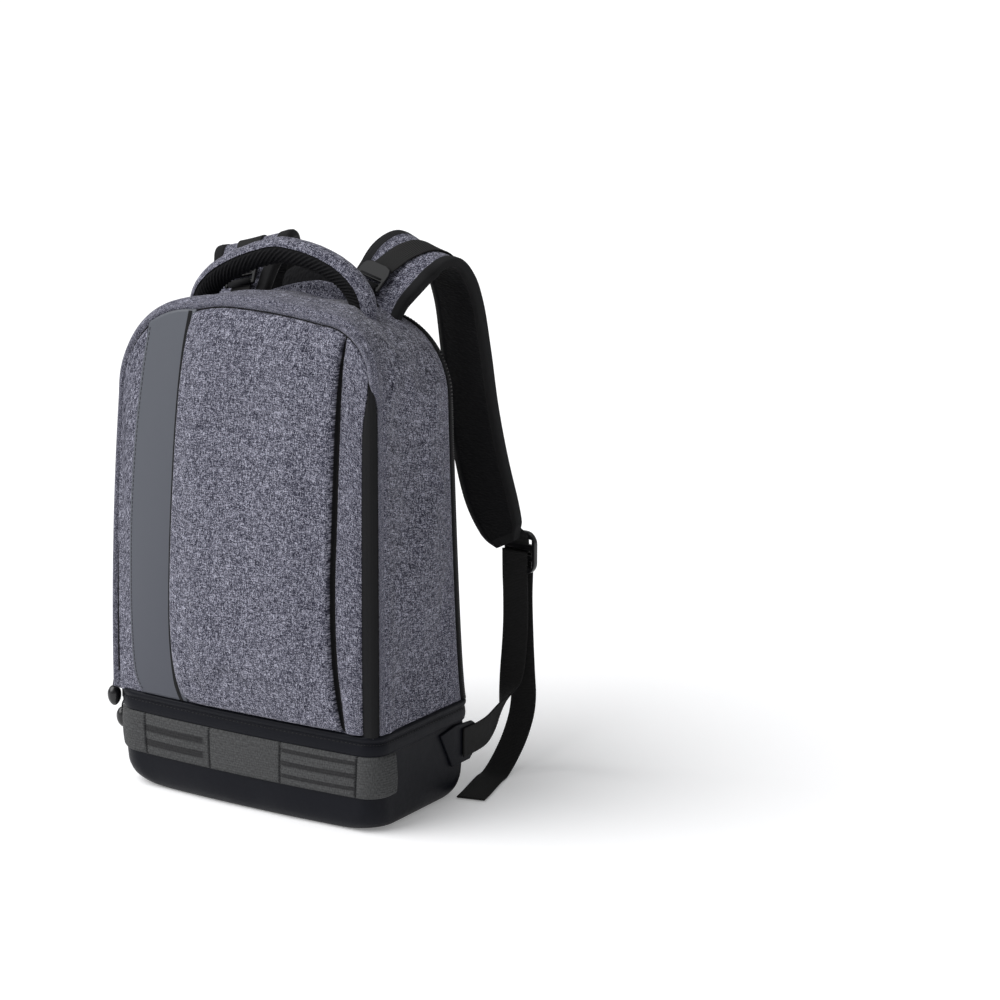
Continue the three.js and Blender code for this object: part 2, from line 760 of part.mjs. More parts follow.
// The pad between two of its stations, grown on all sides
const padStations = 28;
function strapForm(from = 0, to = padStations, grow = 0) {
  const rings = [];
  for (let i = from; i <= to; i += 1) {
    const f = strapFrame(i / padStations);
    rings.push(
      PAD_SECTION.map(([a, b]) =>
        f.centre
          .clone()
          .addScaledVector(f.across, a * (f.width + 2 * grow))
          .addScaledVector(f.out, b * (strapThickness + 2 * grow)),
      ),
    );
  }
  return loft(rings);
}

const strapPad = () => strapForm();

// The left strap has slid outwards and down at the top, fading to nothing at its lower end
const slumpOut = 12;
const slumpDown = 7;
function slumped(geometry) {
  const copy = geometry.clone();
  const position = copy.attributes.position;
  for (let i = 0; i < position.count; i += 1) {
    const rise = clamp((position.getZ(i) - 0.5 * bodyHeight) / (0.4 * bodyHeight), 0, 1);
    const share = rise * rise * (3 - 2 * rise);
    position.setX(i, position.getX(i) - slumpOut * share);
    position.setZ(i, position.getZ(i) - slumpDown * share);
  }
  return copy;
}

// The straps' roots and the buckles' tabs on both sides, grown by the gap
function strapRoots() {
  const root = strapForm(0, 6, gap);
  const tab = buckleTabForm(gap);
  const right = solid(root).add(solid(tab));
  return right.add(solid(slumped(mirrored(root)))).add(solid(slumped(mirrored(tab))));
}

// Flat webbing through stations, each with its place, its width's direction and its outward normal
function webbing(stations, width, thickness = webbingThickness) {
  const half = width / 2;
  return loft(
    stations.map((s) =>
      [[-half, -0.5], [half, -0.5], [half, 0.5], [-half, 0.5]].map(([a, b]) =>
        s.centre.clone().addScaledVector(s.across, a).addScaledVector(s.out, b * thickness),
      ),
    ),
  );
}

// Place over the strap's outer face, shifted sideways and lifted
function overStrap(row) {
  const f = strapFrame(row.along);
  const lift = strapThickness / 2 + gap + webbingThickness / 2 + loadBuckleLift * row.lift;
  f.centre = f.centre
    .clone()
    .addScaledVector(f.across, row.shift * strapWidth)
    .addScaledVector(f.out, lift);
  return f;
}

const strapCleared = () => solid(strapForm(0, 14, gap));

function loadWebbing() {
  const tape = solid(webbing(LOAD_WEBBING_ROUTE.map(overStrap), loadWebbingWidth));
  return geometryOf(tape.subtract(strapCleared()).subtract(solid(loadBuckle(gap))));
}

function buckleTabForm(grow) {
  const width = loadWebbingWidth * 0.9 + 2 * grow;
  return webbing(BUCKLE_TAB_ROUTE.map(overStrap), width, webbingThickness + 2 * grow);
}

function buckleTab() {
  const tape = solid(buckleTabForm(0));
  return geometryOf(tape.subtract(strapCleared()).subtract(solid(loadBuckle(gap))));
}

// Plate with rounded corners and slots across it, in its own plane, and set at a frame
function slottedPlate({ width, length, thickness, corner, slots, frame }) {
  const shape = new THREE.Shape();
  const w = width / 2;
  const l = length / 2;
  shape.absarc(w - corner, l - corner, corner, 0, Math.PI / 2);
  shape.absarc(-w + corner, l - corner, corner, Math.PI / 2, Math.PI);
  shape.absarc(-w + corner, -l + corner, corner, Math.PI, 1.5 * Math.PI);
  shape.absarc(w - corner, -l + corner, corner, 1.5 * Math.PI, 2 * Math.PI);
  for (const slot of slots) {
    const hole = new THREE.Path();
    const half = slot.width / 2;
    hole.moveTo(-half, slot.at - slotWidth / 2);
    hole.lineTo(half, slot.at - slotWidth / 2);
    hole.lineTo(half, slot.at + slotWidth / 2);
    hole.lineTo(-half, slot.at + slotWidth / 2);
    shape.holes.push(hole);
  }
  const geometry = new THREE.ExtrudeGeometry(shape, {
    depth: thickness,
    bevelEnabled: false,
    curveSegments: 4,
  });
  geometry.translate(0, 0, -thickness / 2);
  const place = new THREE.Matrix4().makeBasis(frame.across, frame.run, frame.out);
  place.setPosition(frame.centre);
  geometry.applyMatrix4(place);
  return facingOut(mergeVertices(positionsOnly(geometry), 1e-4));
}

function positionsOnly(geometry) {
  geometry.deleteAttribute("normal");
  geometry.deleteAttribute("uv");
  return geometry;
}

function loadBuckle(grow = 0) {
  const f = strapFrame(loadBucklePlace.along);
  const lift = strapThickness / 2 + gap + loadBuckleThickness / 2 + loadBuckleLift;
  const centre = f.centre
    .clone()
    .addScaledVector(f.across, loadBucklePlace.shift * strapWidth)
    .addScaledVector(f.out, lift);
  const slot = loadBuckleLength * 0.22;
  return slottedPlate({
    width: loadBuckleWidth + 2 * grow,
    length: loadBuckleLength + 2 * grow,
    thickness: loadBuckleThickness + 2 * grow,
    corner: 6,
    slots: [
      { at: -slot, width: loadWebbingWidth + 1 },
      { at: slot, width: loadWebbingWidth + 1 },
    ],
    frame: { ...f, centre },
  });
}

// The ladder lock behind the pad's end, and the webbing that holds it
const adjusterFrame = {
  centre: new THREE.Vector3(0.965 * halfWidth, 2.28 * halfDepth, 0.443 * bodyHeight),
  across: new THREE.Vector3(Math.cos(radians(-8)), Math.sin(radians(-8)), 0),
  run: new THREE.Vector3(0, 0, -1),
};
adjusterFrame.out = new THREE.Vector3().crossVectors(adjusterFrame.across, adjusterFrame.run);

function adjuster(grow = 0) {
  return slottedPlate({
    width: adjusterWidth + 2 * grow,
    length: adjusterLength + 2 * grow,
    thickness: adjusterThickness + 2 * grow,
    corner: adjusterWidth * 0.32,
    slots: [-0.26, 0, 0.26].map((share) => ({
      at: share * adjusterLength,
      width: anchorWebbingWidth + 1,
    })),
    frame: adjusterFrame,
  });
}

const offAdjuster = (run, out) =>
  adjusterFrame.centre
    .clone()
    .addScaledVector(adjusterFrame.run, run * adjusterLength)
    .addScaledVector(adjusterFrame.out, out * adjusterThickness);

function adjusterTabForm(grow) {
  const onPad = [0.86, 0.9, 0.94].map((place) => overStrap({ along: place, shift: 0, lift: 0 }));
  const onLock = [[-0.42, -0.6], [-0.2, -0.72]].map(([run, out]) => ({
    ...adjusterFrame,
    centre: offAdjuster(run, out),
  }));
  const width = anchorWebbingWidth * 0.8 + 2 * grow;
  return webbing([...onPad, ...onLock], width, webbingThickness + 2 * grow);
}

function adjusterTab() {
  const pad = solid(strapForm(20, padStations, gap));
  return geometryOf(solid(adjusterTabForm(0)).subtract(pad).subtract(solid(adjuster(gap))));
}

// Frames along a lower webbing's route, with its width along X rolled upright by roll
function lowerFrames(points, rolls) {
  const curve = new THREE.CatmullRomCurve3(points);
  const steps = 22;
  const frames = [];
  const rows = rolls.map((roll, i) => ({ step: i / (rolls.length - 1), roll }));
  for (let i = 0; i <= steps; i += 1) {
    const step = curve.getUtoTmapping(i / steps);
    const run = curve.getTangent(step);
    const roll = radians(along(rows, "step", "roll", step));
    const across = new THREE.Vector3(Math.cos(roll), 0, Math.sin(roll));
    across.addScaledVector(run, -across.dot(run)).normalize();
    frames.push({
      centre: curve.getPoint(step),
      across,
      out: new THREE.Vector3().crossVectors(across, run),
    });
  }
  return frames;
}

const fromBase = (row) =>
  new THREE.Vector3(row.out * halfWidth, row.back * halfDepth, row.up * baseHeight);

function anchorWebbing() {
  const onTabX = baseSideX + 2 * gap + tabThickness + webbingThickness / 2;
  const points = ANCHOR_ROUTE.map(fromBase);
  const rolls = ANCHOR_ROUTE.map((row) => row.roll);
  for (const share of [1.08, 0.78]) {
    points.push(new THREE.Vector3(onTabX, share * halfDepth, 0.57 * baseHeight));
    rolls.push(90);
  }
  const tape = solid(webbing(lowerFrames(points, rolls), anchorWebbingWidth));
  const clear = solid(adjuster(gap)).add(solid(adjusterTabForm(gap)));
  return geometryOf(tape.subtract(clear));
}

function tailWebbing() {
  const floorZ = 1.2 + webbingThickness / 2;
  const points = TAIL_ROUTE.map(fromBase);
  for (const row of TAIL_FLOOR_ROUTE) {
    points.push(new THREE.Vector3(row.out * halfWidth, row.back * halfDepth, floorZ));
  }
  const tape = solid(webbing(lowerFrames(points, points.map(() => 0)), anchorWebbingWidth));
  return geometryOf(tape.subtract(solid(adjuster(gap))));
}

function baseTab() {
  const shape = new THREE.Shape(
    TAB_OUTLINE.map((row) => new THREE.Vector2(row.back * halfDepth, row.up * baseHeight)),
  );
  const geometry = new THREE.ExtrudeGeometry(shape, { depth: tabThickness, bevelEnabled: false });
  const place = new THREE.Matrix4().makeBasis(
    new THREE.Vector3(0, 1, 0),
    new THREE.Vector3(0, 0, 1),
    new THREE.Vector3(1, 0, 0),
  );
  place.setPosition(baseSideX + gap, 0, 0);
  geometry.applyMatrix4(place);
  return facingOut(mergeVertices(positionsOnly(geometry), 1e-4));
}

// The two pullers at the left: a slider on the bag, a cord loop and a bead that hangs from it
const PULLERS = {
  front: { y: -0.86, sliderZ: 1.25, beadOut: 9.2, beadZ: 0.85 },
  base: { y: -0.7, sliderZ: 0.88, beadOut: 9.2, beadZ: 0.59 },
};

function pullerPlaces(puller) {
  const y = puller.y * halfDepth;
  const onBody = puller.sliderZ > 1;
  const carrierX = onBody ? -halfWidth : -baseSideX - gap - bandThickness;
  return {
    slider: new THREE.Vector3(carrierX - gap - sliderThickness / 2, y, puller.sliderZ * baseHeight),
    bead: new THREE.Vector3(-baseSideX - puller.beadOut, y, puller.beadZ * baseHeight),
  };
}

function zipSlider(puller) {
  const { slider } = pullerPlaces(puller);
  const geometry = new THREE.BoxGeometry(sliderThickness, sliderWidth, sliderLength);
  geometry.translate(slider.x, slider.y, slider.z);
  return positionsOnly(geometry);
}

// Profile of a bead. out and up: shares of half its width and of half its length.
const BEAD_PROFILE = [
  { out: 0.0, up: -1.0 },
  { out: 0.55, up: -0.9 },
  { out: 0.9, up: -0.55 },
  { out: 1.0, up: 0.1 },
  { out: 0.85, up: 0.7 },
  { out: 0.5, up: 1.0 },
  { out: 0.0, up: 1.0 },
];
function pullerBead(puller) {
  const { bead } = pullerPlaces(puller);
  const half = beadLength / 2;
  const profile = BEAD_PROFILE.map(
    (row) => new THREE.Vector2((row.out * beadWidth) / 2, row.up * half),
  );
  const geometry = new THREE.LatheGeometry(profile, 12);
  geometry.rotateX(Math.PI / 2);
  geometry.translate(bead.x, bead.y, bead.z);
  return geometry;
}

function pullerCord(puller) {
  const { slider, bead } = pullerPlaces(puller);
  const top = new THREE.Vector3(slider.x, slider.y, slider.z - sliderLength / 2 - gap);
  const end = new THREE.Vector3(bead.x, bead.y, bead.z + beadLength / 2 + gap);
  const curve = new THREE.CatmullRomCurve3([
    top,
    new THREE.Vector3(mix(top.x, end.x, 0.3), top.y, mix(top.z, end.z, 0.3)),
    new THREE.Vector3(mix(top.x, end.x, 0.75), top.y, mix(top.z, end.z, 0.7)),
    end,
  ]);
  const shape = new THREE.Shape();
  shape.absarc(0, 0, pullerCordDiameter / 2, 0, 2 * Math.PI);
  return new THREE.ExtrudeGeometry(shape, { extrudePath: curve, steps: 6, curveSegments: 4 });
}

// A mesh closed at its seams, with only its positions left
function closed(geometry) {
  return facingOut(mergeVertices(positionsOnly(geometry.clone()), 1e-3));
}

const heather = () => new THREE.MeshStandardMaterial({ color: 0x6b6e7c, roughness: 0.95 });
const coated = () => new THREE.MeshStandardMaterial({ color: 0x17181c, roughness: 0.45 });
const slate = () => new THREE.MeshStandardMaterial({ color: 0x5c6069, roughness: 0.5 });
const webbed = () => new THREE.MeshStandardMaterial({ color: 0x1e1f21, roughness: 0.85 });
const meshed = () => new THREE.MeshStandardMaterial({ color: 0x0e0e10, roughness: 0.95 });
const moulded = () => new THREE.MeshStandardMaterial({ color: 0x141416, roughness: 0.35 });

const bag = new THREE.Group();

function add(name, geometry, material) {
  const mesh = new THREE.Mesh(closed(geometry), material);
  mesh.name = name;
  bag.add(mesh);
}

// A piece and its mirror image, each cut to fit what it rests on
function addPair(name, geometry, material, rest = null) {
  const right = closed(geometry);
  const fitted = (form) => (rest ? geometryOf(solid(form).subtract(rest)) : form);
  add(`${name}_right`, fitted(right), material());
  add(`${name}_left`, fitted(slumped(mirrored(right))), material());
}

add("body_shell", bodyShell(), heather());
add("base_tub", baseTub(), coated());
add("base_band", baseBand(), coated());
add("webbing_row", webbingRow(), webbed());
add("main_zip", mainZip(), webbed());
add("back_panel", backPanel(), meshed());
add("front_stripe", frontStripe(), slate());
add("front_pocket", frontPocket(), heather());
add("pocket_gusset", pocketGusset(), heather());
add("pocket_zip", cornerZip(), webbed());
add("handle_cover", handleHalf(1), heather());
add("handle_grip", handleHalf(-1), meshed());
add("top_yoke", topYoke(), heather());
addPair("strap_pad", strapPad(), heather, bodyGrown);
addPair("load_webbing", loadWebbing(), webbed);
addPair("load_buckle", loadBuckle(), moulded);
addPair("buckle_tab", buckleTab(), webbed, bodyGrown);
addPair("adjuster", adjuster(), moulded);
addPair("adjuster_tab", adjusterTab(), webbed);
addPair("anchor_webbing", anchorWebbing(), webbed);
addPair("base_tab", baseTab(), webbed);
addPair("tail_webbing", tailWebbing(), webbed);
for (const [name, puller] of Object.entries(PULLERS)) {
  add(`zip_slider_${name}`, zipSlider(puller), moulded());
  add(`puller_cord_${name}`, pullerCord(puller), webbed());
  add(`puller_bead_${name}`, pullerBead(puller), moulded());
}

export default bag;
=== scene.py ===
import math

import bmesh
import bpy
from mathutils import Matrix, Vector, noise


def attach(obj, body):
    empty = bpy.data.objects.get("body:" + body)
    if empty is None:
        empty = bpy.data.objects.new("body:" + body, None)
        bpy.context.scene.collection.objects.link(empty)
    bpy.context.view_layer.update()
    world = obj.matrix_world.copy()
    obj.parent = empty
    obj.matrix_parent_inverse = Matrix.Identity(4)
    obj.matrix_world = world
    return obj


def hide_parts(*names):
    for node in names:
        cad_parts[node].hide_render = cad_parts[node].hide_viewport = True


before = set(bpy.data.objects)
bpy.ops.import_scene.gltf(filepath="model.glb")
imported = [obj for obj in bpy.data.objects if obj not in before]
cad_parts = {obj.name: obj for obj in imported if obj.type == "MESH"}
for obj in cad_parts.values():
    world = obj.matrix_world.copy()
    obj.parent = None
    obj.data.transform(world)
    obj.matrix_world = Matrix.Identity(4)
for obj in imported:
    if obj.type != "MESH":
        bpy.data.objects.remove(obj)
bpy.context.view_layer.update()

# The studio: a wide pale floor, soft light from all round and one large soft lamp at the front
# left, high up. The camera stands where the photograph's did.
floor_bm = bmesh.new()
bmesh.ops.create_grid(floor_bm, x_segments=1, y_segments=1, size=30)
floor_mesh = bpy.data.meshes.new("studio_floor")
floor_bm.to_mesh(floor_mesh)
floor_bm.free()
studio_floor = bpy.data.objects.new("studio_floor", floor_mesh)
bpy.context.collection.objects.link(studio_floor)
floor_material = bpy.data.materials.new("pale_floor")
floor_material.use_nodes = True
floor_shader = floor_material.node_tree.nodes["Principled BSDF"]
floor_shader.inputs["Base Color"].default_value = (0.93, 0.93, 0.94, 1)
floor_shader.inputs["Roughness"].default_value = 0.6
floor_shader.inputs["Emission Color"].default_value = (1, 1, 1, 1)
floor_shader.inputs["Emission Strength"].default_value = 0.2
floor_mesh.materials.append(floor_material)

world = bpy.data.worlds.new("studio_sky")
bpy.context.scene.world = world
world.use_nodes = True
world.node_tree.nodes["Background"].inputs["Color"].default_value = (0.98, 0.99, 1.0, 1)
world.node_tree.nodes["Background"].inputs["Strength"].default_value = 0.32
bpy.context.scene.view_settings.view_transform = "Standard"

key = bpy.data.lights.new("key_lamp", "SUN")
key.energy = 3.35
key.angle = math.radians(60)
key_lamp = bpy.data.objects.new("key_lamp", key)
lamp_direction = Vector((0.62, 0.72, -1.0))
key_lamp.matrix_world = lamp_direction.to_track_quat("-Z", "Y").to_matrix().to_4x4()
bpy.context.collection.objects.link(key_lamp)

yaw = math.radians(31.757)
pitch = math.radians(12.967)
roll = math.radians(0.443)
backward = Vector(
    (math.sin(yaw) * math.cos(pitch), -math.cos(yaw) * math.cos(pitch), math.sin(pitch))
)
level = Vector((math.cos(yaw), math.sin(yaw), 0))
upright = backward.cross(level)
rightward = level * math.cos(roll) + upright * math.sin(roll)
upward = upright * math.cos(roll) - level * math.sin(roll)
view = bpy.data.cameras.new("photo_camera")
view.sensor_width = 36
view.lens = 100.8
photo_camera = bpy.data.objects.new("photo_camera", view)
camera_pose = Matrix((rightward, upward, backward)).transposed().to_4x4()
camera_pose.translation = (1.496081, -2.046137, 0.861445)
photo_camera.matrix_world = camera_pose
bpy.context.collection.objects.link(photo_camera)
bpy.context.scene.camera = photo_camera


# Two zip pullers hang at the bag's left: on each a loop of thin black cord comes out of the
# slider's foot, passes through a moulded bead and goes back up beside itself.
def finish_piece(name, bm, materials, nodes=(), smooth=True):
    mesh = bpy.data.meshes.new(name)
    bmesh.ops.recalc_face_normals(bm, faces=bm.faces)
    for face in bm.faces:
        face.smooth = smooth
    bm.to_mesh(mesh)
    bm.free()
    piece = bpy.data.objects.new(name, mesh)
    bpy.context.collection.objects.link(piece)
    for material in materials:
        mesh.materials.append(material)
    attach(piece, "root")
    if nodes:
        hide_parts(*nodes)
    return piece


def new_material(name, color, roughness, gloss=0.15):
    material = bpy.data.materials.new(name)
    material.use_nodes = True
    shader = material.node_tree.nodes["Principled BSDF"]
    shader.inputs["Base Color"].default_value = (*color, 1)
    shader.inputs["Roughness"].default_value = roughness
    shader.inputs["Specular IOR Level"].default_value = gloss
    return material, material.node_tree.nodes, material.node_tree.links, shader


def noise_field(nodes, links, source, scale, detail=2.0, roughness=0.5):
    field = nodes.new("ShaderNodeTexNoise")
    field.inputs["Scale"].default_value = scale
    field.inputs["Detail"].default_value = detail
    field.inputs["Roughness"].default_value = roughness
    links.new(source, field.inputs["Vector"])
    return field.outputs["Fac"]


def bump_from(nodes, links, shader, height, distance):
    bump = nodes.new("ShaderNodeBump")
    bump.inputs["Distance"].default_value = distance
    bump.inputs["Strength"].default_value = 1.0
    links.new(height, bump.inputs["Height"])
    links.new(bump.outputs["Normal"], shader.inputs["Normal"])


black_plastic, nodes, links, shader = new_material(
    "black_moulded_plastic", (0.006, 0.006, 0.007), 0.28, 0.5
)
place = nodes.new("ShaderNodeTexCoord")
grain = noise_field(nodes, links, place.outputs["Object"], 900, 3)
bump_from(nodes, links, shader, grain, 0.00006)

cord_black, nodes, links, shader = new_material("black_braided_cord", (0.012, 0.012, 0.013), 0.7)
place = nodes.new("ShaderNodeTexCoord")
braid = nodes.new("ShaderNodeTexWave")
braid.wave_type = "BANDS"
braid.bands_direction = "DIAGONAL"
braid.inputs["Scale"].default_value = 500
links.new(place.outputs["Object"], braid.inputs["Vector"])
bump_from(nodes, links, shader, braid.outputs["Fac"], 0.0002)

BEADS = [
    {"name": "front", "slider": (-0.1528, -0.06622, 0.1175), "bead": (-0.1592, -0.06622, 0.0799)},
    {"name": "base", "slider": (-0.1549, -0.0539, 0.08272), "bead": (-0.1592, -0.0539, 0.05546)},
]
bead_half = 0.010
bead_radius = 0.0065
cord_width = 0.0018
slider_half = 0.0068
LOOP_SHARES = [0, 0.25, 0.5, 0.75, 1, 1.15]
for row in BEADS:
    centre = Vector(row["bead"])
    bm = bmesh.new()
    bmesh.ops.create_uvsphere(bm, u_segments=32, v_segments=20, radius=1.0)
    for vert in bm.verts:
        rise = vert.co.z
        girth = 1.0 + 0.14 * rise - 0.10 * rise * rise
        groove = 1 - 0.05 * math.exp(-((rise - 0.62) / 0.06) ** 2)
        vert.co = centre + Vector(
            (
                vert.co.x * bead_radius * girth * groove,
                vert.co.y * bead_radius * girth * groove,
                bead_half * math.copysign(abs(rise) ** 0.9, rise),
            )
        )
    bead = finish_piece(
        f"bead_{row['name']}", bm, [black_plastic], [f"puller_bead_{row['name']}"]
    )

    exit_place = Vector(row["slider"]) - Vector((0, 0, slider_half))
    drop = exit_place.z - (centre.z + bead_half)
    run = []
    for side in (-1, 1):
        for share in LOOP_SHARES[::-side]:
            spread = 0.0012 + 0.0022 * math.sin(math.pi * min(share, 1))
            out = (centre.x - exit_place.x) * min(share, 1) ** 1.4
            run.append(
                Vector(
                    (
                        exit_place.x + out,
                        exit_place.y + side * spread,
                        exit_place.z - drop * share,
                    )
                )
            )
    curve = bpy.data.curves.new(f"cord_{row['name']}", "CURVE")
    curve.dimensions = "3D"
    curve.bevel_depth = cord_width / 2
    curve.bevel_resolution = 4
    curve.resolution_u = 6
    spline = curve.splines.new("POLY")
    spline.points.add(len(run) - 1)
    for point, co in zip(spline.points, run):
        point.co = (*co, 1)
    curve.materials.append(cord_black)
    loop = bpy.data.objects.new(f"cord_{row['name']}", curve)
    bpy.context.collection.objects.link(loop)
    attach(loop, "root")
    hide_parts(f"puller_cord_{row['name']}")


# The base is a boxy tub of black coated cloth over stiff foam, rounded at its corners and along
# the floor, and a little swollen in front.
half_width = 0.150
half_depth = 0.077
base_height = 0.094
base_swell = 0.006
BASE_PROFILE = [
    {"height": 0.0, "inset": 0.12, "corner": 0.34},
    {"height": 0.035, "inset": 0.065, "corner": 0.3},
    {"height": 0.11, "inset": 0.02, "corner": 0.25},
    {"height": 0.25, "inset": 0.0, "corner": 0.21},
    {"height": 1.0, "inset": 0.0, "corner": 0.17},
]
BASE_RUN = [0.135, 0.05, 0.13, 0.05, 0.27, 0.05, 0.13, 0.05, 0.135]


def along(rows, at, key, place):
    last = len(rows) - 1
    i = 0
    while i < last - 1 and place > rows[i + 1][at]:
        i += 1
    span = rows[i + 1][at] - rows[i][at]
    t = min(max((place - rows[i][at]) / span, 0), 1)
    low, high = max(i - 1, 0), min(i + 2, last)
    m0 = (rows[i + 1][key] - rows[low][key]) / (rows[i + 1][at] - rows[low][at]) * span
    m1 = (rows[high][key] - rows[i][key]) / (rows[high][at] - rows[i][at]) * span
    return (
        (2 * t**3 - 3 * t**2 + 1) * rows[i][key]
        + (t**3 - 2 * t**2 + t) * m0
        + (-2 * t**3 + 3 * t**2) * rows[i + 1][key]
        + (t**3 - t**2) * m1
    )


def mix(a, b, share):
    return a + (b - a) * share


def smooth_share(value):
    t = min(max(value, 0), 1)
    return t * t * (3 - 2 * t)


def straight(rows, key, share):
    """A column of evenly spaced rows at a share from 0 to 1, straight from row to row."""
    steps = share * (len(rows) - 1)
    i = min(int(steps), len(rows) - 2)
    return mix(rows[i][key], rows[i + 1][key], steps - i)


def stepped(rows):
    """The rows of a table, each with its even step from 0 to 1."""
    return [dict(row, step=i / (len(rows) - 1)) for i, row in enumerate(rows)]


def base_place(u, z, out=0.0):
    """Point on the base's outline: u runs from the back's middle over the left to the front."""
    height = min(max(z / base_height, 0), 1)
    inset = along(BASE_PROFILE, "height", "inset", height) * base_height - out
    radius = along(BASE_PROFILE, "height", "corner", height) * base_height + out
    half_x = half_width - inset
    half_y = half_depth - inset
    radii = [radius, 1.5 * radius, radius, radius]
    corners = [(-1, 1), (-1, -1), (1, -1), (1, 1)]
    part = 0
    while part < 8 and u > BASE_RUN[part]:
        u -= BASE_RUN[part]
        part += 1
    share = min(max(u / BASE_RUN[part], 0), 1)
    if part % 2 == 1:
        k = (part - 1) // 2
        r = radii[k]
        sx, sy = corners[k]
        start = [90, 180, 270, 0][k]
        angle = math.radians(start + 90 * share)
        x = sx * (half_x - r) + r * math.cos(angle)
        y = sy * (half_y - r) + r * math.sin(angle)
    else:
        ends = [
            ((0, half_y), (-half_x + radii[0], half_y)),
            ((-half_x, half_y - radii[0]), (-half_x, -half_y + radii[1])),
            ((-half_x + radii[1], -half_y), (half_x - radii[2], -half_y)),
            ((half_x, -half_y + radii[2]), (half_x, half_y - radii[3])),
            ((half_x - radii[3], half_y), (0, half_y)),
        ][part // 2]
        x = mix(ends[0][0], ends[1][0], share)
        y = mix(ends[0][1], ends[1][1], share)
    if y < 0:
        y -= base_swell * (1 - (x / half_x) ** 2) * (-y / half_y)
    return Vector((x, y, z))


def cloth_grid(columns, rows, place, size, weld=0.0, crowd=(0.0, 0.0)):
    """A grid bent to place(u, v), with its cut size in metres kept as the UV map cloth.

    crowd draws its lines together near the edges, from 0 for even spacing.
    """
    bm = bmesh.new()
    bmesh.ops.create_grid(bm, x_segments=columns, y_segments=rows, size=0.5)
    for vert in bm.verts:
        for axis in (0, 1):
            share = vert.co[axis] + 0.5
            vert.co[axis] = share - crowd[axis] * math.sin(2 * math.pi * share) / (2 * math.pi)
    uv = bm.loops.layers.uv.new("cloth")
    for face in bm.faces:
        for loop in face.loops:
            loop[uv].uv = (loop.vert.co.x * size[0], loop.vert.co.y * size[1])
    for vert in bm.verts:
        vert.co = place(vert.co.x, vert.co.y)
    if weld:
        bmesh.ops.remove_doubles(bm, verts=bm.verts, dist=weld)
    return bm


def uv_cloth(nodes, links, scale):
    uv = nodes.new("ShaderNodeUVMap")
    uv.uv_map = "cloth"
    mapping = nodes.new("ShaderNodeMapping")
    mapping.inputs["Scale"].default_value = (*scale, 1)
    links.new(uv.outputs["UV"], mapping.inputs["Vector"])
    return mapping.outputs["Vector"]


def computed(nodes, links, operation, *values):
    """A Math node over values, each a socket or a number."""
    node = nodes.new("ShaderNodeMath")
    node.operation = operation
    for socket, value in zip(node.inputs, values):
        if isinstance(value, bpy.types.NodeSocket):
            links.new(value, socket)
        else:
            socket.default_value = value
    return node.outputs[0]


def new_verts(geometry):
    return [item for item in geometry if isinstance(item, bmesh.types.BMVert)]


coated_black, nodes, links, shader = new_material(
    "black_coated_cloth", (0.0055, 0.0060, 0.0090), 0.42, 0.09
)
place = nodes.new("ShaderNodeTexCoord")
pebble = noise_field(nodes, links, place.outputs["Object"], 1100, 3, 0.6)
crease = noise_field(nodes, links, place.outputs["Object"], 28, 3, 0.55)
bump_from(
    nodes, links, shader, computed(nodes, links, "MULTIPLY_ADD", crease, 7.0, pebble), 0.00012
)
worn = nodes.new("ShaderNodeMapRange")
worn.inputs["To Min"].default_value = 0.36
worn.inputs["To Max"].default_value = 0.5
links.new(crease, worn.inputs["Value"])
links.new(worn.outputs["Result"], shader.inputs["Roughness"])

tub_top = 0.0932
TUB_HEIGHTS = [
    0.0, 0.0006, 0.0018, 0.0036, 0.006, 0.009, 0.014, 0.022, 0.032, 0.044, 0.056, 0.068, 0.08, tub_top,
]
TUB_ROWS = [{"z": z} for z in TUB_HEIGHTS]


def tub_place(u, v):
    z = straight(TUB_ROWS, "z", v)
    point = base_place(u, z)
    slack = 0.0009 * noise.noise(point * 22) * min(z / 0.01, 1)
    outward = Vector((point.x / half_width, point.y / half_depth, 0)).normalized()
    return point + outward * (slack - 0.0002)


bm = cloth_grid(220, 26, tub_place, (0.9, 0.11), weld=1e-5)
rims = {}
for side, height in (("floor", 0.0), ("top", tub_top)):
    rims[side] = [e for e in bm.edges if e.is_boundary and abs(e.verts[0].co.z - height) < 1e-4]
bmesh.ops.contextual_create(bm, geom=rims["floor"])
inner = bmesh.ops.extrude_edge_only(bm, edges=rims["top"])["geom"]
bmesh.ops.scale(bm, verts=new_verts(inner), vec=(0.97, 0.95, 1))
inner_rim = [item for item in inner if isinstance(item, bmesh.types.BMEdge) and item.is_boundary]
bmesh.ops.contextual_create(bm, geom=inner_rim)
finish_piece("base_tub_cloth", bm, [coated_black], ["base_tub"])


# A binding of the same coated cloth is sewn round the base's top: a raised lip over a smooth
# band, with one row of black stitches in the fold between them.
BAND_PROFILE = [
    {"z": 0.0745, "out": 0.0003},
    {"z": 0.0748, "out": 0.0016},
    {"z": 0.0775, "out": 0.0024},
    {"z": 0.0810, "out": 0.0026},
    {"z": 0.0845, "out": 0.0022},
    {"z": 0.0866, "out": 0.0015},
    {"z": 0.0874, "out": 0.0013},
    {"z": 0.0884, "out": 0.0022},
    {"z": 0.0905, "out": 0.0030},
    {"z": 0.0928, "out": 0.0026},
    {"z": 0.0940, "out": 0.0012},
    {"z": 0.0941, "out": 0.0001},
]
band_fold = 0.0858


def band_place(u, v):
    z = straight(BAND_PROFILE, "z", v)
    point = base_place(u, z, straight(BAND_PROFILE, "out", v))
    point.z += 0.0005 * noise.noise(Vector((point.x, point.y, 0)) * 14)
    return point


bm = cloth_grid(220, 33, band_place, (0.9, 0.022), weld=1e-5)
finish_piece("base_band_cloth", bm, [coated_black], ["base_band"])

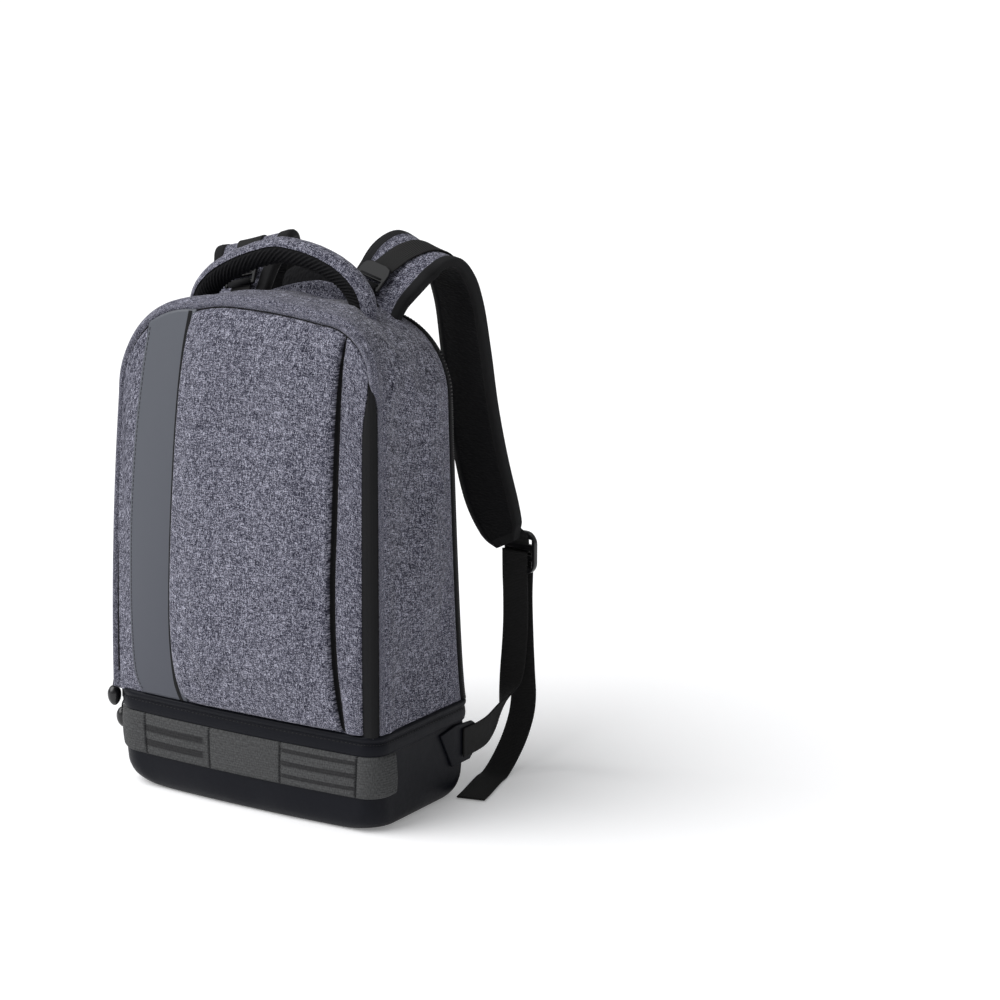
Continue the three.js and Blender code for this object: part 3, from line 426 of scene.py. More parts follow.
thread_black, nodes, links, shader = new_material("black_thread", (0.02, 0.02, 0.022), 0.6)
place = nodes.new("ShaderNodeTexCoord")
twist = noise_field(nodes, links, place.outputs["Object"], 1500)
bump_from(nodes, links, shader, twist, 0.0001)


def stitch(bm, a, b, outward, width):
    """One stitch from a to b, a slim rounded bar lying on the cloth."""
    bar = bmesh.ops.create_cube(bm, size=1.0)["verts"]
    run = b - a
    length = run.length
    run.normalize()
    side = run.cross(outward).normalized()
    turn = Matrix((run, side, side.cross(run))).transposed().to_4x4()
    for vert in bar:
        taper = 0.6 if abs(vert.co.x) > 0.4 else 1.0
        vert.co = Vector((vert.co.x * length, vert.co.y * width * taper, vert.co.z * width * taper))
    bmesh.ops.transform(bm, matrix=Matrix.Translation((a + b) / 2) @ turn, verts=bar)


stitch_fill = 0.62


def stitch_row(name, point_at, outward_at, count, width):
    """A row of count stitches, each stitch_fill of its pitch long."""
    bm = bmesh.new()
    for i in range(count):
        a = point_at(i / count)
        b = point_at((i + stitch_fill) / count)
        stitch(bm, a, b, outward_at((i + 0.3) / count), width)
    finish_piece(name, bm, [thread_black])


def band_stitch_at(share):
    return base_place(0.185 + 0.64 * share, band_fold, 0.0021)


def band_stitch_outward(share):
    point = band_stitch_at(share)
    ahead = band_stitch_at(share + 0.002) - point
    outward = ahead.cross(Vector((0, 0, 1)))
    return outward if outward.dot(Vector((point.x, point.y * 2, 0))) > 0 else -outward


stitch_row("band_stitches", band_stitch_at, band_stitch_outward, 140, 0.0007)


# A row of wide dark grey webbing runs across the base's front and wraps its corners. Dense bars
# of stitching fix it in four places, and it stands a little loose between them.
webbing_grey, nodes, links, shader = new_material("grey_webbing_row", (0.035, 0.034, 0.036), 0.8)
cell = uv_cloth(nodes, links, (1, 1))
ribs = nodes.new("ShaderNodeTexWave")
ribs.wave_type = "BANDS"
ribs.bands_direction = "Y"
ribs.inputs["Scale"].default_value = 130
ribs.inputs["Distortion"].default_value = 1.2
ribs.inputs["Detail"].default_value = 1.0
ribs.inputs["Detail Scale"].default_value = 3.0
links.new(cell, ribs.inputs["Vector"])
threads = noise_field(nodes, links, uv_cloth(nodes, links, (900, 350)), 1.0, 2)
mottle = computed(nodes, links, "ADD", ribs.outputs["Fac"], threads)
bump_from(nodes, links, shader, mottle, 0.00035)
stripe = nodes.new("ShaderNodeSeparateXYZ")
links.new(cell, stripe.inputs[0])


def between(nodes, links, value, low, high, soft):
    """1 where value lies from low to high, with soft edges, and 0 elsewhere."""
    rise = nodes.new("ShaderNodeMapRange")
    rise.inputs["From Min"].default_value = low - soft
    rise.inputs["From Max"].default_value = low + soft
    links.new(value, rise.inputs["Value"])
    fall = nodes.new("ShaderNodeMapRange")
    fall.inputs["From Min"].default_value = high + soft
    fall.inputs["From Max"].default_value = high - soft
    links.new(value, fall.inputs["Value"])
    return computed(nodes, links, "MULTIPLY", rise.outputs["Result"], fall.outputs["Result"])


STRIPES = [
    {"from": 0.058, "to": 0.119, "low": 0.0230, "high": 0.0295},
    {"from": 0.058, "to": 0.119, "low": 0.0090, "high": 0.0160},
    {"from": 0.194, "to": 0.262, "low": 0.0310, "high": 0.0350},
    {"from": 0.194, "to": 0.262, "low": 0.0185, "high": 0.0235},
    {"from": 0.194, "to": 0.262, "low": 0.0070, "high": 0.0110},
]
dark = 0.0
for row in STRIPES:
    across = between(nodes, links, stripe.outputs["X"], row["from"], row["to"], 0.0015)
    up = between(nodes, links, stripe.outputs["Y"], row["low"], row["high"], 0.0006)
    patch = computed(nodes, links, "MULTIPLY", across, up)
    dark = computed(nodes, links, "MAXIMUM", dark, patch)
tone = nodes.new("ShaderNodeMix")
tone.data_type = "RGBA"
tone.inputs["A"].default_value = (0.060, 0.061, 0.062, 1)
tone.inputs["B"].default_value = (0.024, 0.024, 0.025, 1)
links.new(dark, tone.inputs["Factor"])
fleck = nodes.new("ShaderNodeMix")
fleck.data_type = "RGBA"
fleck.blend_type = "MULTIPLY"
fleck.inputs["Factor"].default_value = 0.55
shade = nodes.new("ShaderNodeValToRGB")
shade.color_ramp.elements[0].position = 0.35
shade.color_ramp.elements[0].color = (0.35, 0.35, 0.35, 1)
shade.color_ramp.elements[1].position = 0.65
shade.color_ramp.elements[1].color = (1.3, 1.3, 1.3, 1)
links.new(threads, shade.inputs["Fac"])
links.new(tone.outputs["Result"], fleck.inputs["A"])
links.new(shade.outputs["Color"], fleck.inputs["B"])
links.new(fleck.outputs["Result"], shader.inputs["Base Color"])

BARTACKS = [-0.109, -0.032, 0.048, 0.130]
row_low = 0.0347
row_high = 0.0747
row_start = 0.305
row_end = 0.695


def slack_at(x):
    """Share of full slack: none at a bar of stitching, most half-way between two."""
    places = [-0.165, *BARTACKS, 0.165]
    for a, b in zip(places, places[1:]):
        if a <= x <= b:
            return max(math.sin(math.pi * (x - a) / (b - a)), 0) ** 0.45
    return 0.0


def row_place(u, v):
    flat = base_place(mix(row_start, row_end, u), 0.05)
    z = mix(row_low, row_high, v)
    edge = min(v, 1 - v) / 0.06
    thick = 0.0024 * min(1, 0.35 + 0.65 * edge)
    out = 0.0003 + 0.75 * thick + 0.0022 * slack_at(flat.x) * max(math.sin(math.pi * v), 0) ** 0.5
    return base_place(mix(row_start, row_end, u), z, out)


bm = cloth_grid(200, 30, row_place, (0.312, 0.040))
rim = [e for e in bm.edges if e.is_boundary]
inner = bmesh.ops.extrude_edge_only(bm, edges=rim)["geom"]
for vert in new_verts(inner):
    outward = Vector((vert.co.x / half_width**2, vert.co.y / half_depth**2, 0)).normalized()
    if abs(vert.co.y) > 0.07 and abs(vert.co.x) < 0.13:
        outward = Vector((0, -1, 0))
    vert.co -= outward * 0.0022
finish_piece("webbing_row_cloth", bm, [webbing_grey], ["webbing_row"])

bm = bmesh.new()
forward = Vector((0, -1, 0))
bar_stitches = 26
for x_tack in BARTACKS:
    share = min(range(1001), key=lambda k: abs(row_place(k / 1000, 0.5).x - x_tack)) / 1000
    for k in range(bar_stitches):
        v = 0.03 + 0.94 * k / (bar_stitches - 1)
        a = row_place(share - 0.0030, v) + forward * 0.0003
        b = row_place(share + 0.0030, min(v + 0.012, 1)) + forward * 0.0003
        stitch(bm, a, b, forward, 0.0011)
finish_piece("row_bartacks", bm, [thread_black])


# The body is a tall arch of padded grey heather cloth: one long strip makes both sides and the
# top, its front edge rolled over a piping, and a panel closes its front. The left shoulder sags.
body_height = 0.480
top_crown = 0.007
left_lean = 0.026
BODY_SECTIONS = [
    {"depth": 0.0, "side": 0.973, "top": 0.98, "lean": 0.01, "early": 1.0, "left": 0.28, "right": 0.165},
    {"depth": 0.03, "side": 0.993, "top": 0.991, "lean": 0.015, "early": 1.0, "left": 0.29, "right": 0.175},
    {"depth": 0.11, "side": 1.0, "top": 1.0, "lean": 0.02, "early": 1.0, "left": 0.315, "right": 0.19},
    {"depth": 0.37, "side": 1.0, "top": 0.988, "lean": 0.05, "early": 0.9, "left": 0.315, "right": 0.22},
    {"depth": 0.69, "side": 1.0, "top": 0.97, "lean": 0.09, "early": 0.75, "left": 0.3, "right": 0.24},
    {"depth": 0.92, "side": 1.0, "top": 0.958, "lean": 0.125, "early": 0.65, "left": 0.29, "right": 0.25},
    {"depth": 1.1, "side": 0.99, "top": 0.951, "lean": 0.135, "early": 0.65, "left": 0.28, "right": 0.25},
]
ARCH_RUN = [0.31, 0.08, 0.105, 0.105, 0.12, 0.28]
shell_floor = 0.0943


def section_at(y):
    depth = (y + half_depth) / (2 * half_depth)
    return {key: along(BODY_SECTIONS, "depth", key, depth) for key in BODY_SECTIONS[0]}


def side_x(row, z, sign):
    rise = min(max((z - base_height) / (body_height * row["top"] - base_height), 0), 1)
    lost = half_width * row["lean"] * rise ** row["early"] if sign > 0 else left_lean * rise**2
    return half_width * row["side"] - lost


def shoulder_of(row, sign):
    """The radius of the shoulder at one side, and how far out and up its centre lies."""
    radius = (row["right"] if sign > 0 else row["left"]) * 2 * half_width
    centre_z = body_height * row["top"] - top_crown - radius
    return radius, side_x(row, centre_z, sign) - radius, centre_z


def arch_place(row, u, y, out=0.0, foot=shell_floor):
    """Point on the arch: u runs from the right foot over the top to the left foot."""
    part = 0
    while part < 5 and u > ARCH_RUN[part]:
        u -= ARCH_RUN[part]
        part += 1
    share = min(max(u / ARCH_RUN[part], 0), 1)
    sign = 1 if part < 3 else -1
    if sign < 0:
        part, share = 5 - part, 1 - share
    radius, corner_x, corner_z = shoulder_of(row, sign)
    if part == 0:
        z = mix(foot, corner_z, share)
        return Vector((sign * (side_x(row, z, sign) + out), y, z))
    if part == 1:
        angle = math.radians(90 * share)
        z = corner_z + (radius + out) * math.sin(angle)
        return Vector((sign * (corner_x + (radius + out) * math.cos(angle)), y, z))
    across = 1 - share
    z = body_height * row["top"] + out - top_crown * across**2
    return Vector((sign * corner_x * across, y, z))


def front_y(x, z):
    front_top = body_height * BODY_SECTIONS[0]["top"]
    rise = min(max((z - base_height) / (front_top - base_height), 0), 1)
    up = 0.35 * (1 - rise) + 0.65 * math.sin(math.pi * rise**0.62)
    across = min(abs(x) / (half_width * 0.973), 1)
    return -half_depth - 0.015 * up * (1 - across**3.5)


def section_top(row, x):
    radius, corner_x, corner_z = shoulder_of(row, 1 if x > 0 else -1)
    out = abs(x)
    if out <= corner_x:
        return body_height * row["top"] - top_crown * (out / corner_x) ** 2
    return corner_z + math.sqrt(max(radius**2 - (out - corner_x) ** 2, 0))


def top_z(x, y):
    return section_top(section_at(y), x)


heather, nodes, links, shader = new_material("grey_heather_cloth", (0.12, 0.125, 0.16), 0.95)
shader.inputs["Sheen Weight"].default_value = 0.1
shader.inputs["Sheen Roughness"].default_value = 0.5
yarn_pitch = 0.00062
yarn_spread = 1.37
cut = nodes.new("ShaderNodeSeparateXYZ")
links.new(uv_cloth(nodes, links, (1, 1)), cut.inputs[0])


def yarn_number(nodes, links, value):
    """The number of the yarn that a place on the cloth lies on, spread out for the noise."""
    snapped = computed(nodes, links, "SNAP", value, yarn_pitch)
    return computed(nodes, links, "MULTIPLY", snapped, yarn_spread / yarn_pitch)


def dye_along(nodes, links, first, second, seed):
    """The dye along one set of yarns, from dark to light."""
    together = nodes.new("ShaderNodeCombineXYZ")
    links.new(first, together.inputs["X"])
    links.new(second, together.inputs["Y"])
    together.inputs["Z"].default_value = seed
    return noise_field(nodes, links, together.outputs["Vector"], 1.0, 2, 0.7)


column = yarn_number(nodes, links, cut.outputs["X"])
line = yarn_number(nodes, links, cut.outputs["Y"])
up_the_yarn = computed(nodes, links, "MULTIPLY", cut.outputs["Y"], 130)
along_the_yarn = computed(nodes, links, "MULTIPLY", cut.outputs["X"], 150)
crossed = nodes.new("ShaderNodeMix")
crossed.inputs["Factor"].default_value = 0.5
links.new(dye_along(nodes, links, column, up_the_yarn, 3.0), crossed.inputs["A"])
links.new(dye_along(nodes, links, along_the_yarn, line, 8.0), crossed.inputs["B"])
crossing = nodes.new("ShaderNodeCombineXYZ")
links.new(column, crossing.inputs["X"])
links.new(line, crossing.inputs["Y"])
grain = nodes.new("ShaderNodeTexWhiteNoise")
grain.noise_dimensions = "2D"
links.new(crossing.outputs["Vector"], grain.inputs["Vector"])
uneven = nodes.new("ShaderNodeMix")
uneven.inputs["Factor"].default_value = 0.2
links.new(crossed.outputs["Result"], uneven.inputs["A"])
links.new(grain.outputs["Value"], uneven.inputs["B"])
dye = nodes.new("ShaderNodeValToRGB")
dye.color_ramp.elements[0].position = 0.40
dye.color_ramp.elements[0].color = (0.012, 0.012, 0.022, 1)
dye.color_ramp.elements[1].position = 0.655
dye.color_ramp.elements[1].color = (0.42, 0.42, 0.50, 1)
middle = dye.color_ramp.elements.new(0.50)
middle.color = (0.073, 0.073, 0.101, 1)
links.new(uneven.outputs["Result"], dye.inputs["Fac"])
links.new(dye.outputs["Color"], shader.inputs["Base Color"])
bump_from(nodes, links, shader, uneven.outputs["Result"], 0.0005)

# Across the strip from its front seam to its back edge: the depth, and how far out it stands.
ROLL = [
    {"y": -0.0715, "out": -0.0110},
    {"y": -0.0745, "out": -0.0062},
    {"y": -0.0770, "out": -0.0026},
    {"y": -0.0788, "out": -0.0004},
    {"y": -0.0796, "out": 0.0016},
    {"y": -0.0790, "out": 0.0034},
    {"y": -0.0768, "out": 0.0040},
    {"y": -0.0735, "out": 0.0032},
    {"y": -0.0690, "out": 0.0016},
    {"y": -0.0640, "out": 0.0004},
    {"y": -0.0560, "out": 0.0},
    {"y": -0.0420, "out": 0.0},
    {"y": -0.0280, "out": 0.0},
    {"y": -0.0140, "out": 0.0},
    {"y": 0.0000, "out": 0.0},
    {"y": 0.0140, "out": 0.0},
    {"y": 0.0280, "out": 0.0},
    {"y": 0.0400, "out": 0.0},
    {"y": 0.0500, "out": 0.0},
    {"y": 0.0570, "out": 0.0002},
    {"y": 0.0618, "out": 0.0},
    {"y": 0.0636, "out": -0.0014},
    {"y": 0.0640, "out": -0.0060},
]
roll_steps = stepped(ROLL)
corner_zip_top = 0.414
body_middle = 0.25


def strip_place(u, v):
    y = along(roll_steps, "step", "y", v)
    out = along(roll_steps, "step", "out", v)
    point = arch_place(section_at(max(y, -half_depth)), u, y, out)
    if point.x > 0.1:
        shut = smooth_share((corner_zip_top + 0.004 - point.z) / 0.03)
        if y < -0.064:
            y = mix(y, -0.064 + (y + 0.064) * 0.42, shut)
            out = mix(out, min(out, 0.0012) * 0.8 - 0.0006, shut)
        out += 0.0020 * math.exp(-(((y + 0.058) / 0.009) ** 2)) * shut
        point = arch_place(section_at(max(y, -half_depth)), u, y, out)
    body = min(max((y + 0.066) / 0.03, 0), 1) * min(max((0.058 - y) / 0.02, 0), 1)
    low = min((point.z - shell_floor) / 0.03, 1)
    slack = 0.0022 * noise.noise(Vector((point.x * 6, y * 11, point.z * 6.5))) * body * low
    centre = Vector((0, y, body_middle))
    return point + (point - centre).normalized() * slack


def settle(piece, pinned, pressure, growth, cap, frames=14):
    """Lets a sewn panel take up its own slack, held at the pinned points."""
    mesh = piece.data
    start = [vert.co.copy() for vert in mesh.vertices]
    group = piece.vertex_groups.new(name="sewn")
    group.add([vert.index for vert in mesh.vertices if pinned(vert.co)], 1.0, "REPLACE")
    cloth = piece.modifiers.new("settle", "CLOTH")
    cloth.settings.quality = 5
    cloth.settings.mass = 0.4
    cloth.settings.vertex_group_mass = "sewn"
    cloth.settings.use_pressure = True
    cloth.settings.uniform_pressure_force = pressure
    cloth.settings.shrink_min = -growth
    cloth.settings.effector_weights.gravity = 0
    cloth.settings.tension_stiffness = 25
    cloth.settings.compression_stiffness = 25
    cloth.settings.bending_stiffness = 4
    scene = bpy.context.scene
    for number in range(1, frames + 1):
        scene.frame_set(number)
    relaxed = piece.evaluated_get(bpy.context.evaluated_depsgraph_get()).data
    for vert, now, before in zip(mesh.vertices, relaxed.vertices, start):
        move = now.co - before
        if move.length > cap:
            move *= cap / move.length
        vert.co = before + move
    piece.modifiers.remove(cloth)
    piece.vertex_groups.remove(group)
    scene.frame_set(1)
    mesh.update()


bm = cloth_grid(280, 96, strip_place, (1.02, 0.19))
uv = bm.loops.layers.uv["cloth"]
for face in bm.faces:
    for loop in face.loops:
        loop[uv].uv = (loop[uv].uv.y, loop[uv].uv.x)
strip = finish_piece("body_strip", bm, [heather], ["body_shell"])
settle(strip, lambda co: co.z < 0.105 or co.y < -0.055 or co.y > 0.05, 1.2, 0.01, 0.003)


def face_place(u, v):
    """The plain front panel behind the stripe and the pocket."""
    row = BODY_SECTIONS[0]
    x = mix(-half_width * 0.972, half_width * 0.972, u)
    sign = 1 if x > 0 else -1
    low = shell_floor - 0.002
    top = section_top(row, x) - 0.001
    if abs(x) > side_x(row, 0.3, sign):
        top = max(top, low + 0.02)
    z = mix(low, top, v)
    edge = side_x(row, z, sign)
    x = min(max(x, -edge), edge)
    return Vector((x, front_y(x, z) + 0.0008, z))


bm = cloth_grid(110, 110, face_place, (0.292, 0.377))
finish_piece("front_panel", bm, [heather])

tape_black, nodes, links, shader = new_material("black_zip_tape", (0.010, 0.010, 0.011), 0.8)
weave = noise_field(nodes, links, uv_cloth(nodes, links, (1500, 500)), 1.0, 2)
bump_from(nodes, links, shader, weave, 0.0003)
# A thin black cord in the groove where the front panel meets the rolled edge: painted shade, darkening the deep seam.
seam_shade_radius = 0.0008


def seam_shade_place(u, v):
    share = mix(0.262, 0.985, u)
    angle = 2 * math.pi * v
    out = -0.0024 + seam_shade_radius * math.cos(angle)
    y = -half_depth - 0.0002 + seam_shade_radius * math.sin(angle)
    return arch_place(BODY_SECTIONS[0], share, y, out)


bm = cloth_grid(260, 10, seam_shade_place, (0.8, 0.005), weld=1e-6)
finish_piece("front_seam_shade_cord", bm, [tape_black])


# A closed zip runs round the body's back edge: black tape with a line of fine teeth along its
# middle, seen on the outer side.
ZIP = [
    {"y": 0.0640, "out": -0.0050},
    {"y": 0.0643, "out": 0.0002},
    {"y": 0.0650, "out": 0.0008},
    {"y": 0.0670, "out": 0.0008},
    {"y": 0.0678, "out": 0.0002},
    {"y": 0.0686, "out": 0.0008},
    {"y": 0.0706, "out": 0.0008},
    {"y": 0.0712, "out": 0.0002},
    {"y": 0.0714, "out": -0.0050},
]


def zip_place(u, v):
    y = straight(ZIP, "y", v)
    return arch_place(section_at(y), u, y, straight(ZIP, "out", v))


bm = cloth_grid(260, 24, zip_place, (1.0, 0.012))
finish_piece("main_zip_tape", bm, [tape_black], ["main_zip"])

bm = bmesh.new()
teeth = 430
teeth_y = 0.0678
teeth_out = 0.0007
tooth_size = Matrix.Diagonal((0.0013, 0.0028, 0.0011, 1))
row = section_at(teeth_y)
backward = Vector((0, 1, 0))
for k in range(teeth):
    u = (k + 0.5) / teeth
    point = arch_place(row, u, teeth_y, teeth_out)
    ahead = arch_place(row, min(u + 0.001, 1), teeth_y, teeth_out) - point
    run = ahead.normalized()
    outward = run.cross(backward).normalized()
    if outward.dot(point - Vector((0, teeth_y, body_middle))) < 0:
        outward = -outward
    tooth = bmesh.ops.create_cube(bm, size=1.0)["verts"]
    turn = Matrix((run, backward, outward)).transposed().to_4x4()
    bmesh.ops.transform(bm, matrix=Matrix.Translation(point) @ turn @ tooth_size, verts=tooth)
finish_piece("main_zip_teeth", bm, [black_plastic])


# The back is one padded panel under black mesh, sewn to the zip's far side and pillowed towards
# the wearer.
mesh_black, nodes, links, shader = new_material("black_padded_mesh", (0.0075, 0.0075, 0.0085), 0.9)
holes = nodes.new("ShaderNodeTexVoronoi")
holes.inputs["Scale"].default_value = 1.0
links.new(uv_cloth(nodes, links, (420, 420)), holes.inputs["Vector"])
bump_from(nodes, links, shader, holes.outputs["Distance"], 0.0008)
PILLOW = [
    {"y": 0.0716, "out": -0.0080},
    {"y": 0.0716, "out": -0.0012},
    {"y": 0.0730, "out": -0.0012},
    {"y": 0.0755, "out": -0.0036},
    {"y": 0.0782, "out": -0.0064},
    {"y": 0.0808, "out": -0.0090},
    {"y": 0.0832, "out": -0.0130},
    {"y": 0.0852, "out": -0.0185},
    {"y": 0.0862, "out": -0.0260},
    {"y": 0.0866, "out": -0.0360},
]
pad_gap = 0.001
rib_pitch = 0.09


def pillow_place(u, v):
    """The pad's rounded rim, from the zip in towards its middle."""
    y = straight(PILLOW, "y", v)
    out = straight(PILLOW, "out", v)
    return arch_place(section_at(min(y, half_depth)), u, y, out, shell_floor + pad_gap - out)


def back_place(u, v):
    """The pad's middle, with a channel down the spine and wide soft ribs across."""
    row = section_at(half_depth)
    arch = mix(0.0, 0.485, v)
    y = PILLOW[-1]["y"]
    out = PILLOW[-1]["out"]
    right = arch_place(row, arch, y, out, shell_floor + pad_gap - out)
    left = arch_place(row, 1 - arch * 1.03, y, out, shell_floor + pad_gap - out)
    point = right.lerp(left, u)
    channel = min(abs(point.x) / 0.012, 1)
    rib = 0.0012 * math.cos((point.z - 0.1) * 2 * math.pi / rib_pitch)
    point.y = y - 0.004 * (1 - channel) ** 2 + rib * channel * min(u, 1 - u) * 4 - 0.0012
    return point


def lip_place(u, v):
    """The pad's lower edge, which closes the pillow's foot from side to side."""
    return pillow_place(0, v).lerp(pillow_place(1, v), u)


bm = cloth_grid(200, 27, pillow_place, (1.0, 0.045))
for part in (
    cloth_grid(60, 110, back_place, (0.21, 0.33)),
    cloth_grid(60, 27, lip_place, (0.21, 0.045)),
):
    holder = bpy.data.meshes.new("back_part")
    part.to_mesh(holder)
    part.free()
    bm.from_mesh(holder)
    bpy.data.meshes.remove(holder)
bmesh.ops.remove_doubles(bm, verts=bm.verts, dist=0.00002)
back = finish_piece("back_pad", bm, [mesh_black], ["back_panel"])


# A wide stripe of smooth slate grey coated cloth is let into the front at the left and
# top-stitched along its left edge. Its grey is painted lighter at the top and darker below: partly
# the cloth's own tone, partly painted light where the top leans back into the light.
FRONT_EDGES = [
    {"height": 0.0, "stripe_left": -0.75, "stripe_right": -0.42, "pleat": 0.77},
    {"height": 0.05, "stripe_left": -0.8, "stripe_right": -0.45, "pleat": 0.76},
    {"height": 0.18, "stripe_left": -0.82, "stripe_right": -0.465, "pleat": 0.73},
    {"height": 0.35, "stripe_left": -0.818, "stripe_right": -0.455, "pleat": 0.72},
    {"height": 0.55, "stripe_left": -0.8, "stripe_right": -0.436, "pleat": 0.73},
    {"height": 0.75, "stripe_left": -0.755, "stripe_right": -0.41, "pleat": 0.74},
    {"height": 0.9, "stripe_left": -0.7, "stripe_right": -0.372, "pleat": 0.76},
    {"height": 1.0, "stripe_left": -0.65, "stripe_right": -0.325, "pleat": 0.79},
]
slate, nodes, links, shader = new_material("slate_coated_cloth", (0.075, 0.080, 0.098), 0.42, 0.26)
place = nodes.new("ShaderNodeTexCoord")
height_on_bag = nodes.new("ShaderNodeSeparateXYZ")
links.new(place.outputs["Object"], height_on_bag.inputs[0])
# Painted light: the grey grows lighter higher up, where the top leans back into the light; partly the cloth's own
# tone.
tone_and_painted_light_fade = nodes.new("ShaderNodeMapRange")
tone_and_painted_light_fade.inputs["From Min"].default_value = 0.10
tone_and_painted_light_fade.inputs["From Max"].default_value = 0.46
links.new(height_on_bag.outputs["Z"], tone_and_painted_light_fade.inputs["Value"])
tone_and_painted_light_greys = nodes.new("ShaderNodeMix")
tone_and_painted_light_greys.data_type = "RGBA"
tone_and_painted_light_greys.inputs["A"].default_value = (0.060, 0.064, 0.080, 1)
tone_and_painted_light_greys.inputs["B"].default_value = (0.088, 0.094, 0.110, 1)
links.new(tone_and_painted_light_fade.outputs["Result"], tone_and_painted_light_greys.inputs["Factor"])
links.new(tone_and_painted_light_greys.outputs["Result"], shader.inputs["Base Color"])
film = noise_field(nodes, links, place.outputs["Object"], 1400, 2)
wave = noise_field(nodes, links, place.outputs["Object"], 18, 2)
bump_from(
    nodes, links, shader, computed(nodes, links, "MULTIPLY_ADD", wave, 10.0, film), 0.00008
)


def edge_x(key, v):
    return half_width * along(FRONT_EDGES, "height", key, v)


front_low = 0.0953


def on_front(x, v, low, top_margin, lift):
    """Point on the bulging front, v of the way up from low, lifted off it."""
    z = mix(low, section_top(BODY_SECTIONS[0], x) - top_margin, v)
    return Vector((x, front_y(x, z) - lift, z))


def turned_in(bm, depth):
    """Turns a panel's edges back towards the bag, so that it has a thickness."""
    rim = [e for e in bm.edges if e.is_boundary]
    inner = bmesh.ops.extrude_edge_only(bm, edges=rim)["geom"]
    for vert in new_verts(inner):
        vert.co.y += depth


def stripe_place(u, v):
    x = mix(edge_x("stripe_left", v), edge_x("stripe_right", v) + 0.006, u)
    fold = min(u, 0.02) / 0.02
    return on_front(x, v, front_low, 0.001, 0.0003 + 0.0016 * math.sqrt(fold))


bm = cloth_grid(50, 130, stripe_place, (0.056, 0.37))
turned_in(bm, 0.004)
finish_piece("front_stripe_cloth", bm, [slate], ["front_stripe"])


def stripe_stitch_at(share):
    v = 0.01 + 0.98 * share
    return on_front(edge_x("stripe_left", v) + 0.0035, v, front_low, 0.001, 0.0021)


stitch_row("stripe_stitches", stripe_stitch_at, lambda share: forward, 84, 0.0005)


# The big front pocket is a padded heather panel that stands off the body, soft at its edges. Its
# right side is closed by a band of black tape that falls into a deep fold; the tape's black down the
# fold's wall and floor is partly painted shade of the fold.
pocket_lift = 0.010


def soft_rise(distance, least, reach=0.13):
    t = min(max(distance / reach, 0), 1)
    return mix(least, 1, math.sqrt(1 - (1 - t) ** 2))


def tucked(distance, reach):
    """Share of a turned edge's depth that is left at a distance in from it: 1 on the edge."""
    t = min(max(distance / reach, 0), 1)
    return 1 - math.sqrt(1 - (1 - t) ** 2)


def pocket_place(u, v):
    x = mix(edge_x("stripe_right", v) + 0.0008, edge_x("pleat", v), u)
    from_edge = x - half_width * FRONT_EDGES[1]["stripe_right"]
    t = min(max(1 - from_edge / 0.026, 0), 1)
    low = front_low + 0.0195 * (1 - math.sqrt(1 - t * t))
    across = min(soft_rise(u, 0.5), soft_rise(1.5 * (1 - u), 0.75))
    rise = across * min(soft_rise(v, 0.4), soft_rise(0.6 * (1 - v), 0.2))
    point = on_front(x, v, low, 0.0028, 0.0003 + pocket_lift * rise)
    in_from_edge = min(u * 0.18, v * 0.37, (1 - v) * 0.37)
    point.y += 0.0042 * tucked(in_from_edge, 0.005) + 0.0022 * tucked((1 - u) * 0.18, 0.003)
    inside = min(u, 1 - u, v, 1 - v) * 8
    point.y -= 0.0026 * noise.noise(Vector((x * 8, 0.3, point.z * 4.5))) * min(inside, 1)
    return point


bm = cloth_grid(150, 200, pocket_place, (0.180, 0.372), crowd=(0.8, 0.8))
turned_in(bm, 0.006)
pocket = finish_piece("front_pocket_cloth", bm, [heather], ["front_pocket"])
settle(
    pocket,
    lambda co: min(abs(co.x - edge_x("pleat", 0.5)), abs(co.x - edge_x("stripe_right", 0.5))) < 0.014
    or co.z < 0.108
    or co.z > section_top(BODY_SECTIONS[0], co.x) - 0.012,
    1.6,
    0.012,
    0.004,
)


def wall_and_shade_place(u, v):
    """The tape from the pocket's right edge down into the fold, then along the fold's floor; its black there is partly
    painted shade of the fold.
    """
    front = pocket_place(1.0, v)
    x = front.x + 0.0009
    floor_y = front_y(front.x, front.z)
    if u < 0.5:
        return Vector((x, mix(front.y + 0.0016, floor_y, 2 * u), front.z))
    return Vector((x + 0.0063 * (2 * u - 1), floor_y + 0.0004, front.z))


# Black tape that is partly painted shade: it darkens the fold's wall and floor.
bm = cloth_grid(12, 200, wall_and_shade_place, (0.020, 0.372), crowd=(0.0, 0.8))
finish_piece("pocket_side_tape_and_shade", bm, [tape_black])


# A thin black strip under the pocket's left edge, along the stripe: painted shade, standing in for the dark gap where
# the pocket laps over the stripe.
def left_shade_strip_place(u, v):
    x = edge_x("stripe_right", v) + mix(-0.0024, 0.0014, u)
    return on_front(x, v, front_low, 0.002, 0.0023)


bm = cloth_grid(6, 150, left_shade_strip_place, (0.004, 0.372))
turned_in(bm, 0.0015)
finish_piece("pocket_left_shade_strip", bm, [tape_black])


